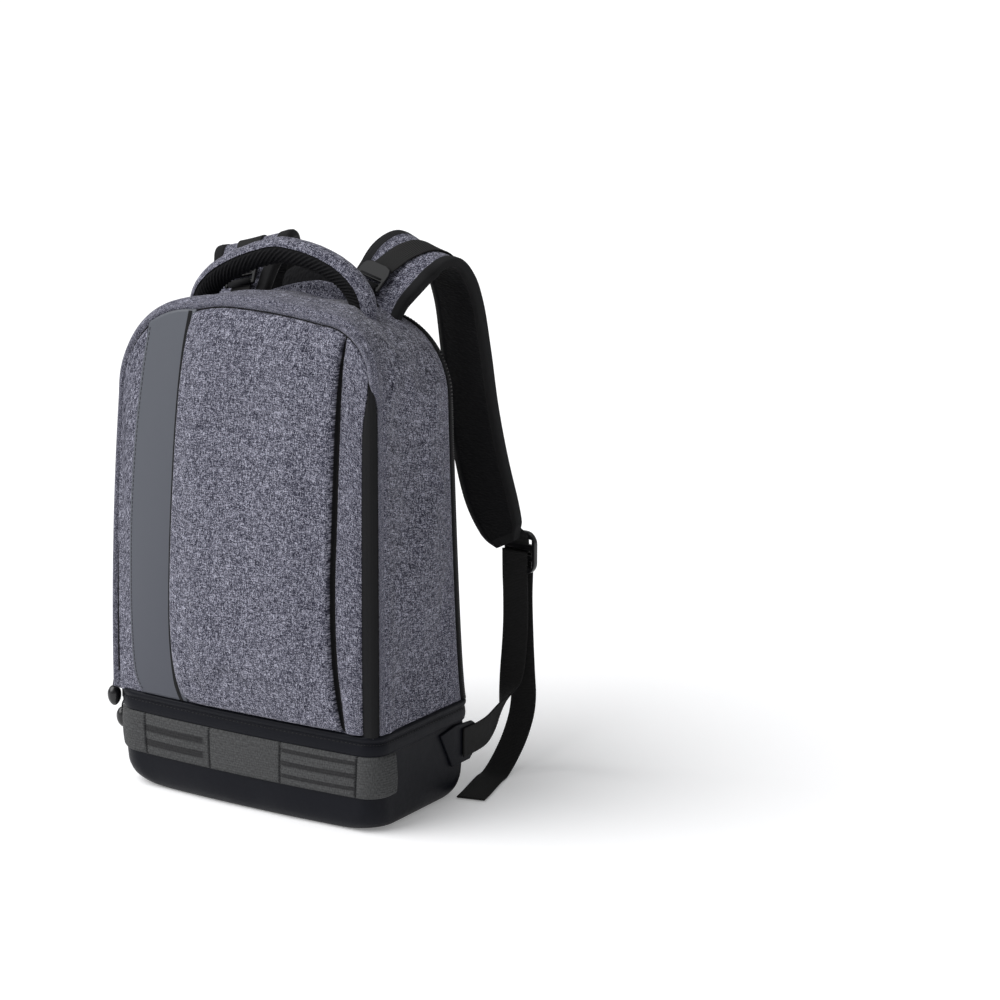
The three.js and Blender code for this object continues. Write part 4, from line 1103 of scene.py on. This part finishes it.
# Right of the fold a narrow heather gusset stands as a soft upright roll, wider at the top where
# it laps over the corner's zip.
def gusset_place(u, v):
    left = edge_x("pleat", v) + mix(0.0046, 0.0026, smooth_share((v - 0.7) / 0.3))
    right = half_width * mix(0.912, 0.95, smooth_share((v - 0.78) / 0.2))
    x = mix(left, right, u)
    roll = math.sin(math.pi * mix(0.04, 0.96, u)) ** 0.5
    lift = 0.0003 + 0.0050 * roll * mix(1, 0.5, v)
    point = on_front(x, v, front_low, 0.0028, lift)
    point.y += 0.004 * tucked((1 - v) * 0.37, 0.004)
    lower_crease = math.exp(-(((v - 0.16 - 0.10 * u) / 0.018) ** 2))
    upper_crease = math.exp(-(((v - 0.30 + 0.06 * u) / 0.02) ** 2))
    point.y += 0.0013 * (lower_crease + 0.6 * upper_crease) * math.sin(math.pi * u)
    return point


bm = cloth_grid(30, 170, gusset_place, (0.030, 0.372), crowd=(0.6, 0.6))
turned_in(bm, 0.004)
finish_piece("gusset_cloth", bm, [heather], ["pocket_gusset"])


# A covered zip is sewn into the front's right corner, a plain black band bent round it that
# narrows to nothing at the seam above. The band is wider than the zip: its black on the side is
# painted shade, standing in for the shade of the corner's groove.
def corner_zip_and_shade_place(u, v):
    row = BODY_SECTIONS[0]
    z = mix(shell_floor - 0.0012, corner_zip_top, v)
    x = side_x(row, z, 1)
    wide = mix(0.10, 1.0, smooth_share((corner_zip_top - z) / 0.06) ** 0.8)
    left = 0.0110 * wide
    back = 0.0085 * wide
    front_x = x - left
    points = [
        Vector((front_x, front_y(front_x, z) + 0.002, z)),
        Vector((front_x, front_y(front_x, z) - 0.0006, z)),
        Vector((x - 0.45 * left, front_y(x - 0.45 * left, z) - 0.0014, z)),
        Vector((x - 0.0008, -half_depth - 0.0012, z)),
        Vector((x + 0.0016, -half_depth + 0.12 * back, z)),
        Vector((x + 0.0022, -half_depth + 0.6 * back, z)),
        Vector((x + 0.0024, -half_depth + back, z)),
        Vector((x + 0.0010, -half_depth + 1.15 * back, z)),
    ]
    steps = u * (len(points) - 1)
    i = min(int(steps), len(points) - 2)
    return points[i].lerp(points[i + 1], steps - i)


# Partly zip tape, partly painted shade: the band's black part on the side darkens the corner's groove.
bm = cloth_grid(28, 130, corner_zip_and_shade_place, (0.020, 0.32))
finish_piece("corner_zip_and_shade_band", bm, [tape_black], ["pocket_zip"])


# The carrying handle is a padded arch sewn over the top: heather cloth on its outer half, black
# mesh with slanting ribs on its inner half.
handle_half = 0.090
handle_rise = 0.048
handle_radius = 0.012
handle_y = -0.009
handle_sag = 0.004
handle_foot = top_z(handle_half, handle_y)
left_drop = handle_foot - top_z(-handle_half, handle_y)


def handle_frame(share):
    buried = 0.018
    arc = 0.21
    whole = arc + 2 * buried
    run = share * whole - buried
    if run < 0 or run > arc:
        sign = 1 if run < 0 else -1
        deep = -run if run < 0 else run - arc + left_drop
        return Vector((sign * handle_half, handle_y, handle_foot - deep)), Vector((sign, 0, 0))
    angle = math.pi * run / arc
    left = max(-math.cos(angle), 0)
    drop = left_drop * left**1.6 + handle_sag * math.sin(math.pi * left)
    height = handle_foot + handle_rise * math.sin(angle) - drop
    centre = Vector((handle_half * math.cos(angle), handle_y, height))
    outward = Vector((math.cos(angle) / handle_half, 0, math.sin(angle) / handle_rise)).normalized()
    return centre, outward


def handle_point(share, angle, radius):
    centre, outward = handle_frame(share)
    return centre + outward * radius * math.cos(angle) + Vector((0, radius * math.sin(angle), 0))


def cover_place(u, v):
    angle = math.radians(mix(-66, 100, u))
    centre, outward = handle_frame(v)
    pucker = 0.0004 * noise.noise(Vector((u * 9, v * 30, 0)))
    edge = min(u, 1 - u) / 0.05
    radius = handle_radius + 0.0006 * min(edge, 1) + pucker
    return handle_point(v, angle, radius)


bm = cloth_grid(40, 200, cover_place, (0.044, 0.246))
finish_piece("handle_cover_cloth", bm, [heather], ["handle_cover"])


def grip_place(u, v):
    angle = math.radians(mix(96, 296, u))
    slant = (v * 57 + 8.5 * u) * 2 * math.pi
    rib = 0.0012 * (0.5 + 0.5 * math.cos(slant)) ** 2 * min(1, 12 * u, 12 * (1 - u))
    return handle_point(v, angle, handle_radius - 0.0012 + rib)


bm = cloth_grid(56, 700, grip_place, (0.042, 0.246))
grip = finish_piece("handle_grip_mesh", bm, [mesh_black], ["handle_grip"])


# Behind the handle a soft fold of heather cloth covers the straps' roots, creased by three
# shallow wrinkles.
yoke_half = 0.052
yoke_front = handle_y + handle_radius + 0.003
yoke_depth = 0.050
YOKE = [
    {"across": 0.0, "lift": 0.02},
    {"across": 0.08, "lift": 0.42},
    {"across": 0.25, "lift": 0.85},
    {"across": 0.5, "lift": 1.0},
    {"across": 0.75, "lift": 0.9},
    {"across": 0.95, "lift": 0.5},
    {"across": 1.0, "lift": 0.02},
]


def yoke_place(u, v):
    x = mix(-yoke_half, yoke_half, u)
    y = yoke_front + yoke_depth * v
    rise = min(max((u - 0.04) / 0.60, 0), 1)
    hump = (0.22 + 0.92 * rise) * math.sqrt(max(1 - (2 * u - 1) ** 10, 0))
    lift = 0.015 * along(YOKE, "across", "lift", v) * (0.1 + 0.9 * hump)
    crease = 0.0
    for place_v, slope, depth, width in ((0.15, 0.10, 0.0046, 0.045), (0.33, 0.16, 0.0042, 0.045), (0.56, 0.10, 0.0030, 0.06)):
        crease += depth * math.exp(-(((v - place_v - slope * (u - 0.5)) / width) ** 2)) * smooth_share((u - 0.1) / 0.5)
    return Vector((x, y, top_z(x, y) + lift - crease * hump - 0.001))


bm = cloth_grid(110, 90, yoke_place, (0.12, 0.065))
finish_piece("top_yoke_cloth", bm, [heather], ["top_yoke"])


# Between the straps' roots the harness goes on as a black mesh pad, which stands up behind the
# fold.
def harness_place(u, v):
    x = mix(-0.047, 0.047, u)
    around = math.radians(mix(-8, 188, v))
    end = math.sqrt(max(1 - abs(2 * u - 1) ** 5, 0))
    height = 0.034 * (0.7 + 0.3 * end) + 0.0002 * math.sin(u * 40)
    y = 0.0600 - 0.0052 * math.cos(around)
    return Vector((x, y, top_z(x, 0.062) - 0.003 + height * max(math.sin(around), -0.1)))


bm = cloth_grid(70, 30, harness_place, (0.1, 0.055))
finish_piece("harness_pad", bm, [mesh_black])


# The shoulder straps are long foam pads: heather cloth outside, black mesh inside, and a black
# tape bound round the edges. They rise from the yoke, turn over and hang down behind the back.
strap_width = 0.064
strap_thickness = 0.010
STRAP_ROUTE = [
    {"out": 0.465, "back": 0.48, "up": 0.935, "turn": 2, "tilt": 6, "width": 0.8},
    {"out": 0.475, "back": 0.63, "up": 0.979, "turn": 0, "tilt": 8, "width": 0.96},
    {"out": 0.51, "back": 0.81, "up": 1.012, "turn": -2, "tilt": 10, "width": 1.05},
    {"out": 0.545, "back": 1.0, "up": 1.04, "turn": -6, "tilt": 14, "width": 1.12},
    {"out": 0.595, "back": 1.18, "up": 1.052, "turn": -10, "tilt": 15, "width": 1.12},
    {"out": 0.64, "back": 1.35, "up": 1.042, "turn": -14, "tilt": 12, "width": 1.1},
    {"out": 0.68, "back": 1.49, "up": 1.01, "turn": -17, "tilt": 6, "width": 1.05},
    {"out": 0.705, "back": 1.61, "up": 0.955, "turn": -17, "tilt": 0, "width": 1.0},
    {"out": 0.715, "back": 1.74, "up": 0.86, "turn": -15, "tilt": 0, "width": 1.0},
    {"out": 0.73, "back": 1.85, "up": 0.745, "turn": -12, "tilt": 0, "width": 1.0},
    {"out": 0.765, "back": 1.96, "up": 0.635, "turn": -9, "tilt": 0, "width": 1.0},
    {"out": 0.815, "back": 2.06, "up": 0.545, "turn": -8, "tilt": 0, "width": 0.98},
    {"out": 0.87, "back": 2.12, "up": 0.49, "turn": -8, "tilt": 0, "width": 0.8},
    {"out": 0.915, "back": 2.14, "up": 0.462, "turn": -8, "tilt": 0, "width": 0.42},
]


def smooth_curve(points, count=400):
    """A centripetal Catmull-Rom curve through points, as evenly spaced samples with their step."""
    ends = [points[0] * 2 - points[1], *points, points[-1] * 2 - points[-2]]
    samples = []
    last = len(points) - 1
    for k in range(count + 1):
        step = k / count * last
        i = min(int(step), last - 1)
        t = step - i
        p0, p1, p2, p3 = ends[i : i + 4]
        d1 = max((p1 - p0).length ** 0.5, 1e-6)
        d2 = max((p2 - p1).length ** 0.5, 1e-6)
        d3 = max((p3 - p2).length ** 0.5, 1e-6)
        m1 = ((p1 - p0) / d1 - (p2 - p0) / (d1 + d2) + (p2 - p1) / d2) * d2
        m2 = ((p2 - p1) / d2 - (p3 - p1) / (d2 + d3) + (p3 - p2) / d3) * d2
        place = (
            (2 * t**3 - 3 * t**2 + 1) * p1
            + (t**3 - 2 * t**2 + t) * m1
            + (-2 * t**3 + 3 * t**2) * p2
            + (t**3 - t**2) * m2
        )
        samples.append((place, step / last))
    lengths = [0.0]
    for (a, _), (b, _) in zip(samples, samples[1:]):
        lengths.append(lengths[-1] + (b - a).length)
    return samples, lengths


def curve_at(curve, share):
    samples, lengths = curve
    target = min(max(share, 0), 1) * lengths[-1]
    low, high = 0, len(lengths) - 1
    while high - low > 1:
        middle = (low + high) // 2
        if lengths[middle] > target:
            high = middle
        else:
            low = middle
    span = lengths[high] - lengths[low]
    t = (target - lengths[low]) / span if span else 0
    place = samples[low][0].lerp(samples[high][0], t)
    run = (samples[high][0] - samples[low][0]).normalized()
    return place, run, mix(samples[low][1], samples[high][1], t)


strap_curve = smooth_curve(
    [Vector((r["out"] * half_width, r["back"] * half_depth, r["up"] * body_height)) for r in STRAP_ROUTE]
)
strap_rows = stepped(STRAP_ROUTE)


def strap_frame(share):
    centre, run, step = curve_at(strap_curve, share)
    before = curve_at(strap_curve, share - 0.01)[0]
    after = curve_at(strap_curve, share + 0.01)[0]
    run = (after - before).normalized()
    turn = math.radians(along(strap_rows, "step", "turn", step))
    tilt = math.radians(along(strap_rows, "step", "tilt", step))
    across = Vector((math.cos(turn) * math.cos(tilt), math.sin(turn) * math.cos(tilt), -math.sin(tilt)))
    across = (across - run * across.dot(run)).normalized()
    width = strap_width * along(strap_rows, "step", "width", step)
    return centre, run, across, across.cross(run), width


def to_side(point, side):
    """The right strap's point, or the left strap's, which has slid outwards and down at the top."""
    if side > 0:
        return point
    share = smooth_share((point.z - 0.5 * body_height) / (0.4 * body_height))
    near_root = share * (1 - smooth_share((point.y - 0.05) / 0.09))
    return Vector((-point.x - 0.012 * share - 0.010 * near_root, point.y, point.z - 0.007 * share - 0.004 * near_root))


PAD = [
    {"across": -0.500, "out": 0.00, "cloth": 1},
    {"across": -0.497, "out": 0.28, "cloth": 1},
    {"across": -0.480, "out": 0.46, "cloth": 1},
    {"across": -0.440, "out": 0.55, "cloth": 1},
    {"across": -0.360, "out": 0.57, "cloth": 1},
    {"across": -0.345, "out": 0.49, "cloth": 0},
    {"across": -0.270, "out": 0.54, "cloth": 0},
    {"across": -0.120, "out": 0.57, "cloth": 0},
    {"across": 0.120, "out": 0.57, "cloth": 0},
    {"across": 0.270, "out": 0.54, "cloth": 0},
    {"across": 0.345, "out": 0.49, "cloth": 0},
    {"across": 0.360, "out": 0.57, "cloth": 1},
    {"across": 0.440, "out": 0.55, "cloth": 1},
    {"across": 0.480, "out": 0.46, "cloth": 1},
    {"across": 0.497, "out": 0.28, "cloth": 1},
    {"across": 0.500, "out": 0.00, "cloth": 1},
    {"across": 0.497, "out": -0.28, "cloth": 1},
    {"across": 0.480, "out": -0.46, "cloth": 1},
    {"across": 0.400, "out": -0.54, "cloth": 1},
    {"across": 0.380, "out": -0.47, "cloth": 2},
    {"across": 0.200, "out": -0.53, "cloth": 2},
    {"across": 0.000, "out": -0.55, "cloth": 2},
    {"across": -0.200, "out": -0.53, "cloth": 2},
    {"across": -0.380, "out": -0.47, "cloth": 2},
    {"across": -0.400, "out": -0.54, "cloth": 1},
    {"across": -0.480, "out": -0.46, "cloth": 1},
    {"across": -0.497, "out": -0.28, "cloth": 1},
    {"across": -0.500, "out": 0.00, "cloth": 1},
]
binding_black, nodes, links, shader = new_material("black_binding_tape", (0.012, 0.012, 0.013), 0.75)
weave = nodes.new("ShaderNodeTexWave")
weave.wave_type = "BANDS"
weave.bands_direction = "Y"
weave.inputs["Scale"].default_value = 260
links.new(uv_cloth(nodes, links, (1, 1)), weave.inputs["Vector"])
bump_from(nodes, links, shader, weave.outputs["Fac"], 0.0003)

for side, label in ((1, "right"), (-1, "left")):

    def pad_place(u, v):
        steps = u * (len(PAD) - 1)
        i = min(int(steps), len(PAD) - 2)
        centre, run, across, out, width = strap_frame(v)
        a = mix(PAD[i]["across"], PAD[i + 1]["across"], steps - i)
        b = mix(PAD[i]["out"], PAD[i + 1]["out"], steps - i)
        if a < 0:
            a *= 1 + 0.2 * smooth_share(v / 0.06) * (1 - smooth_share((v - 0.2) / 0.15))
        buckled = 0.0007 * noise.noise(Vector((a * 3, v * 14, side * 3.0))) if abs(a) < 0.33 else 0.0
        return to_side(centre + across * a * width + out * (b * strap_thickness + buckled), side)

    columns = 3 * (len(PAD) - 1)
    bm = cloth_grid(columns, 240, pad_place, (0.15, 0.52))
    uv = bm.loops.layers.uv["cloth"]
    for face in bm.faces:
        u = sum(loop[uv].uv.x for loop in face.loops) / 4 / 0.15
        v = sum(loop[uv].uv.y for loop in face.loops) / 4 / 0.52
        i = min(int(u * (len(PAD) - 1)), len(PAD) - 2)
        face.material_index = 1 if v > 0.978 else PAD[i + 1]["cloth"]
    bmesh.ops.remove_doubles(bm, verts=bm.verts, dist=1e-6)
    ends = [e for e in bm.edges if e.is_boundary]
    bmesh.ops.holes_fill(bm, edges=ends)
    pad = finish_piece(
        f"strap_cloth_{label}",
        bm,
        [heather, binding_black, mesh_black],
        [f"strap_pad_{label}"],
    )


# Flat black webbings with fine cross ribs: the load webbing and its buckle's tab on each strap's
# crest, the tab of the ladder lock, the anchor webbing down to the base, and the free tail.
webbing_black, nodes, links, shader = new_material("black_webbing_tape", (0.014, 0.0138, 0.014), 0.72)
rib = nodes.new("ShaderNodeTexWave")
rib.wave_type = "BANDS"
rib.bands_direction = "Y"
rib.inputs["Scale"].default_value = 200
rib.inputs["Distortion"].default_value = 0.6
links.new(uv_cloth(nodes, links, (1, 1)), rib.inputs["Vector"])
yarns = noise_field(nodes, links, uv_cloth(nodes, links, (1100, 300)), 1.0, 2)
height = nodes.new("ShaderNodeMath")
height.operation = "ADD"
links.new(rib.outputs["Fac"], height.inputs[0])
links.new(yarns, height.inputs[1])
bump_from(nodes, links, shader, height.outputs[0], 0.0003)

TAPE = [(-0.5, 0.0), (-0.49, 0.4), (-0.46, 0.5), (0.46, 0.5), (0.49, 0.4), (0.5, 0.0), (0.49, -0.4), (0.46, -0.5),
        (-0.46, -0.5), (-0.49, -0.4), (-0.5, 0.0)]
tape_thickness = 0.0018


def tape_piece(name, stations, width, side, node, thickness=tape_thickness):
    count = len(stations) - 1
    length = sum((b[0] - a[0]).length for a, b in zip(stations, stations[1:]))

    def tape_place(u, v):
        k = u * (len(TAPE) - 1)
        i = min(int(k), len(TAPE) - 2)
        a = mix(TAPE[i][0], TAPE[i + 1][0], k - i)
        b = mix(TAPE[i][1], TAPE[i + 1][1], k - i)
        j = v * count
        n = min(int(j), count - 1)
        t = j - n
        centre = stations[n][0].lerp(stations[n + 1][0], t)
        across = stations[n][1].lerp(stations[n + 1][1], t).normalized()
        out = stations[n][2].lerp(stations[n + 1][2], t).normalized()
        return to_side(centre + across * a * width + out * b * thickness, side)

    bm = cloth_grid(4 * (len(TAPE) - 1), max(count, 2), tape_place, (2 * width, length))
    bmesh.ops.remove_doubles(bm, verts=bm.verts, dist=1e-6)
    bmesh.ops.holes_fill(bm, edges=[e for e in bm.edges if e.is_boundary])
    return finish_piece(name, bm, [webbing_black], [node] if node else [])


def over_strap(rows, count):
    """Stations over the strap's outer face along a short table, on one smooth line."""
    steps = [dict(row, step=i / (len(rows) - 1)) for i, row in enumerate(rows)]
    stations = []
    for k in range(count + 1):
        at = k / count
        place = along(steps, "step", "along", at)
        centre, run, across, out, width = strap_frame(place)
        lift = strap_thickness / 2 + 0.0003 + tape_thickness / 2 + 0.006 * along(steps, "step", "lift", at)
        centre = centre + across * along(steps, "step", "shift", at) * strap_width + out * (lift + 0.0005)
        stations.append((centre, across, out))
    return stations


LOAD_ROUTE = [
    {"along": 0.37, "shift": 0.0, "lift": 0.0},
    {"along": 0.33, "shift": 0.0, "lift": 0.0},
    {"along": 0.29, "shift": 0.0, "lift": 0.0},
    {"along": 0.255, "shift": 0.0, "lift": 0.0},
    {"along": 0.225, "shift": -0.01, "lift": 0.0},
    {"along": 0.185, "shift": -0.05, "lift": 0.1},
    {"along": 0.145, "shift": -0.10, "lift": 0.35},
    {"along": 0.113, "shift": -0.15, "lift": 0.6},
    {"along": 0.095, "shift": -0.17, "lift": 0.75},
]
TAB_ROUTE = [
    {"along": 0.072, "shift": -0.18, "lift": 0.75},
    {"along": 0.063, "shift": -0.18, "lift": 0.6},
    {"along": 0.045, "shift": -0.17, "lift": 0.4},
    {"along": 0.025, "shift": -0.08, "lift": 0.2},
    {"along": 0.0, "shift": -0.08, "lift": 0.1},
]
ANCHOR_ROUTE = [
    {"out": 0.94, "back": 2.215, "up": 2.28, "roll": 0},
    {"out": 0.935, "back": 2.24, "up": 2.02, "roll": 0},
    {"out": 0.93, "back": 2.275, "up": 1.79, "roll": 0},
    {"out": 0.92, "back": 2.31, "up": 1.46, "roll": 0},
    {"out": 0.915, "back": 2.285, "up": 1.14, "roll": 8},
    {"out": 0.92, "back": 2.2, "up": 0.89, "roll": 28},
    {"out": 0.945, "back": 2.0, "up": 0.72, "roll": 58},
    {"out": 0.98, "back": 1.68, "up": 0.63, "roll": 80},
    {"out": 1.022, "back": 1.33, "up": 0.585, "roll": 88},
    {"out": 1.0294, "back": 1.08, "up": 0.57, "roll": 90},
    {"out": 1.0294, "back": 0.78, "up": 0.57, "roll": 90},
]
TAIL_ROUTE = [
    {"out": 0.95, "back": 2.345, "up": 2.28, "roll": 0},
    {"out": 0.94, "back": 2.36, "up": 2.02, "roll": 0},
    {"out": 0.93, "back": 2.385, "up": 1.79, "roll": 0},
    {"out": 0.935, "back": 2.4, "up": 1.37, "roll": 0},
    {"out": 0.95, "back": 2.4, "up": 0.95, "roll": 0},
    {"out": 0.968, "back": 2.37, "up": 0.72, "roll": 0},
    {"out": 0.972, "back": 2.31, "up": 0.53, "roll": 0},
    {"out": 0.965, "back": 2.17, "up": 0.31, "roll": 0},
    {"out": 0.96, "back": 1.96, "up": 0.13, "roll": 0},
    {"out": 0.968, "back": 1.72, "up": 0.0223, "roll": 0},
    {"out": 1.0, "back": 1.45, "up": 0.0223, "roll": 0},
    {"out": 1.04, "back": 1.17, "up": 0.0223, "roll": 0},
    {"out": 1.075, "back": 0.93, "up": 0.0223, "roll": 0},
    {"out": 1.1, "back": 0.73, "up": 0.0223, "roll": 0},
]


def lower_stations(rows, count):
    curve = smooth_curve(
        [Vector((r["out"] * half_width, r["back"] * half_depth, r["up"] * base_height)) for r in rows]
    )
    rolls = [dict(row, step=i / (len(rows) - 1)) for i, row in enumerate(rows)]
    stations = []
    for k in range(count + 1):
        centre, run, step = curve_at(curve, k / count)
        roll_angle = math.radians(along(rolls, "step", "roll", step))
        across = Vector((math.cos(roll_angle), 0, math.sin(roll_angle)))
        across = (across - run * across.dot(run)).normalized()
        stations.append((centre, across, across.cross(run)))
    return stations


lock_across = Vector((math.cos(math.radians(-8)), math.sin(math.radians(-8)), 0))
lock_run = Vector((0, 0, -1))
lock_out = lock_across.cross(lock_run)
lock_centre = Vector((0.965 * half_width, 2.28 * half_depth, 0.443 * body_height))
for side, label in ((1, "right"), (-1, "left")):
    tape_piece(f"load_tape_{label}", over_strap(LOAD_ROUTE, 70), 0.025, side, f"load_webbing_{label}")
    tape_piece(f"buckle_tab_tape_{label}", over_strap(TAB_ROUTE, 26), 0.0225, side, f"buckle_tab_{label}")
    tape_piece(f"anchor_tape_{label}", lower_stations(ANCHOR_ROUTE, 120), 0.028, side, f"anchor_webbing_{label}")
    tape_piece(f"tail_tape_{label}", lower_stations(TAIL_ROUTE, 160), 0.028, side, f"tail_webbing_{label}")
    stations = over_strap(
        [{"along": place, "shift": 0, "lift": 0} for place in (0.86, 0.89, 0.92, 0.95)], 20
    )
    for run_share, out_share in ((-0.42, -0.45), (-0.2, -0.3), (0.0, 0.0)):
        centre = lock_centre + lock_run * run_share * 0.042 + lock_out * out_share * 0.005
        stations.append((centre, lock_across, lock_out))
    tape_piece(f"lock_tab_tape_{label}", stations, 0.0224, side, f"adjuster_tab_{label}")


# The hard fittings are black moulded plastic: the slotted load buckles, the ladder locks and the
# zip sliders, each with its edges rounded by the mould.
def moulded(name, node, radius, material):
    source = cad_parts[node]
    bm = bmesh.new()
    bm.from_mesh(source.data)
    bmesh.ops.remove_doubles(bm, verts=bm.verts, dist=2e-6)
    bmesh.ops.dissolve_limit(bm, angle_limit=math.radians(4), verts=bm.verts, edges=bm.edges)
    sharp = [e for e in bm.edges if len(e.link_faces) == 2 and e.calc_face_angle(0) > math.radians(40)]
    bmesh.ops.bevel(
        bm, geom=sharp, offset=radius, offset_type="OFFSET", segments=3, profile=0.5, affect="EDGES", material=-1
    )
    bmesh.ops.triangulate(bm, faces=[f for f in bm.faces if len(f.verts) > 4])
    piece = finish_piece(name, bm, [material], [node], smooth=False)
    return piece


buckle_grey, nodes, links, shader = new_material("glossy_buckle_plastic", (0.008, 0.0082, 0.009), 0.42, 0.14)
place = nodes.new("ShaderNodeTexCoord")
scuff = noise_field(nodes, links, place.outputs["Object"], 300, 4)
bump_from(nodes, links, shader, scuff, 0.00004)
buckle_centre, buckle_run, buckle_across, buckle_out, _ = strap_frame(0.083)
buckle_centre = buckle_centre + buckle_across * -0.18 * strap_width + buckle_out * 0.0130


def buckle_part(bm, verts, run_offset, out_offset, side):
    """Sets a part made along X (across), Y (run) and Z (out) on the strap at one side."""
    turn = Matrix((buckle_across, buckle_run, buckle_out)).transposed()
    for vert in verts:
        place = buckle_centre + turn @ (vert.co + Vector((0, run_offset, out_offset)))
        vert.co = to_side(place, side)


for side, label in ((1, "right"), (-1, "left")):
    bm = bmesh.new()
    bmesh.ops.create_cube(bm, size=1.0, matrix=Matrix.Diagonal((0.033, 0.0165, 0.0030, 1)))
    corners = [e for e in bm.edges if abs(e.verts[0].co.z - e.verts[1].co.z) > 0.001]
    far = [e for e in corners if e.verts[0].co.y > 0]
    bmesh.ops.bevel(
        bm, geom=far, offset=0.0075, offset_type="OFFSET", segments=2, profile=0.5, affect="EDGES", material=-1
    )
    rims = [e for e in bm.edges if len(e.link_faces) == 2 and e.calc_face_angle(0) > math.radians(50)]
    bmesh.ops.bevel(
        bm, geom=rims, offset=0.0007, offset_type="OFFSET", segments=3, profile=0.5, affect="EDGES", material=-1
    )
    buckle_part(bm, list(bm.verts), 0.0052, 0.0, side)
    for arm_x in (-0.0148, 0.0148):
        arm = bmesh.ops.create_cube(
            bm, size=1.0, matrix=Matrix.Translation((arm_x, 0, 0)) @ Matrix.Diagonal((0.0034, 0.012, 0.0032, 1))
        )["verts"]
        arm_edges = list({e for v in arm for e in v.link_edges})
        rounded = bmesh.ops.bevel(
            bm, geom=arm_edges, offset=0.0008, offset_type="OFFSET", segments=2, profile=0.5, affect="EDGES", material=-1
        )["verts"]
        buckle_part(bm, list({*[v for v in arm if v.is_valid], *rounded}), -0.0072, 0.0, side)
    bar = bmesh.ops.create_cone(
        bm, cap_ends=True, segments=24, radius1=0.0017, radius2=0.0017, depth=0.0290,
        matrix=Matrix.Rotation(math.radians(90), 4, "Y"),
    )["verts"]
    buckle_part(bm, bar, -0.0098, 0.0, side)
    finish_piece(f"buckle_{label}", bm, [buckle_grey], [f"load_buckle_{label}"], smooth=False)

    bm = bmesh.new()
    wrap = bmesh.ops.create_cone(
        bm, cap_ends=True, segments=24, radius1=0.0034, radius2=0.0034, depth=0.0235,
        matrix=Matrix.Rotation(math.radians(90), 4, "Y"),
    )["verts"]
    buckle_part(bm, wrap, -0.0098, 0.0, side)
    slot = bmesh.ops.create_cube(bm, size=1.0, matrix=Matrix.Diagonal((0.0245, 0.0020, 0.0033, 1)))["verts"]
    buckle_part(bm, slot, -0.0008, 0.0, side)
    uv = bm.loops.layers.uv.new("cloth")
    for face in bm.faces:
        for loop in face.loops:
            loop[uv].uv = (loop.vert.co.x, loop.vert.co.z)
    finish_piece(f"buckle_wrap_{label}", bm, [tape_black])
    moulded(f"ladder_lock_{label}", f"adjuster_{label}", 0.0012, black_plastic)
for label in ("front", "base"):
    moulded(f"slider_{label}", f"zip_slider_{label}", 0.0012, black_plastic)


# A folded tab of the coated cloth is sewn on each side of the base, over the anchor webbing's
# root.
TAB_OUTLINE = [
    {"back": 0.31, "up": 0.735},
    {"back": 0.65, "up": 0.775},
    {"back": 1.01, "up": 0.75},
    {"back": 1.12, "up": 0.69},
    {"back": 1.12, "up": 0.46},
    {"back": 0.96, "up": 0.36},
    {"back": 0.57, "up": 0.36},
]
for side, label in ((1, "right"), (-1, "left")):
    bm = bmesh.new()
    outline = [
        bm.verts.new((side * (half_width + 0.0003), row["back"] * half_depth, row["up"] * base_height))
        for row in TAB_OUTLINE
    ]
    plate = bm.faces.new(outline)
    lifted = bmesh.ops.extrude_face_region(bm, geom=[plate])["geom"]
    raised = [g for g in lifted if isinstance(g, bmesh.types.BMVert)]
    bmesh.ops.translate(bm, verts=raised, vec=(side * 0.0025, 0, 0))
    bmesh.ops.bevel(
        bm, geom=list(bm.edges), offset=0.0008, offset_type="OFFSET", segments=3, profile=0.5, affect="EDGES", material=-1
    )
    finish_piece(f"base_tab_cloth_{label}", bm, [coated_black], [f"base_tab_{label}"])
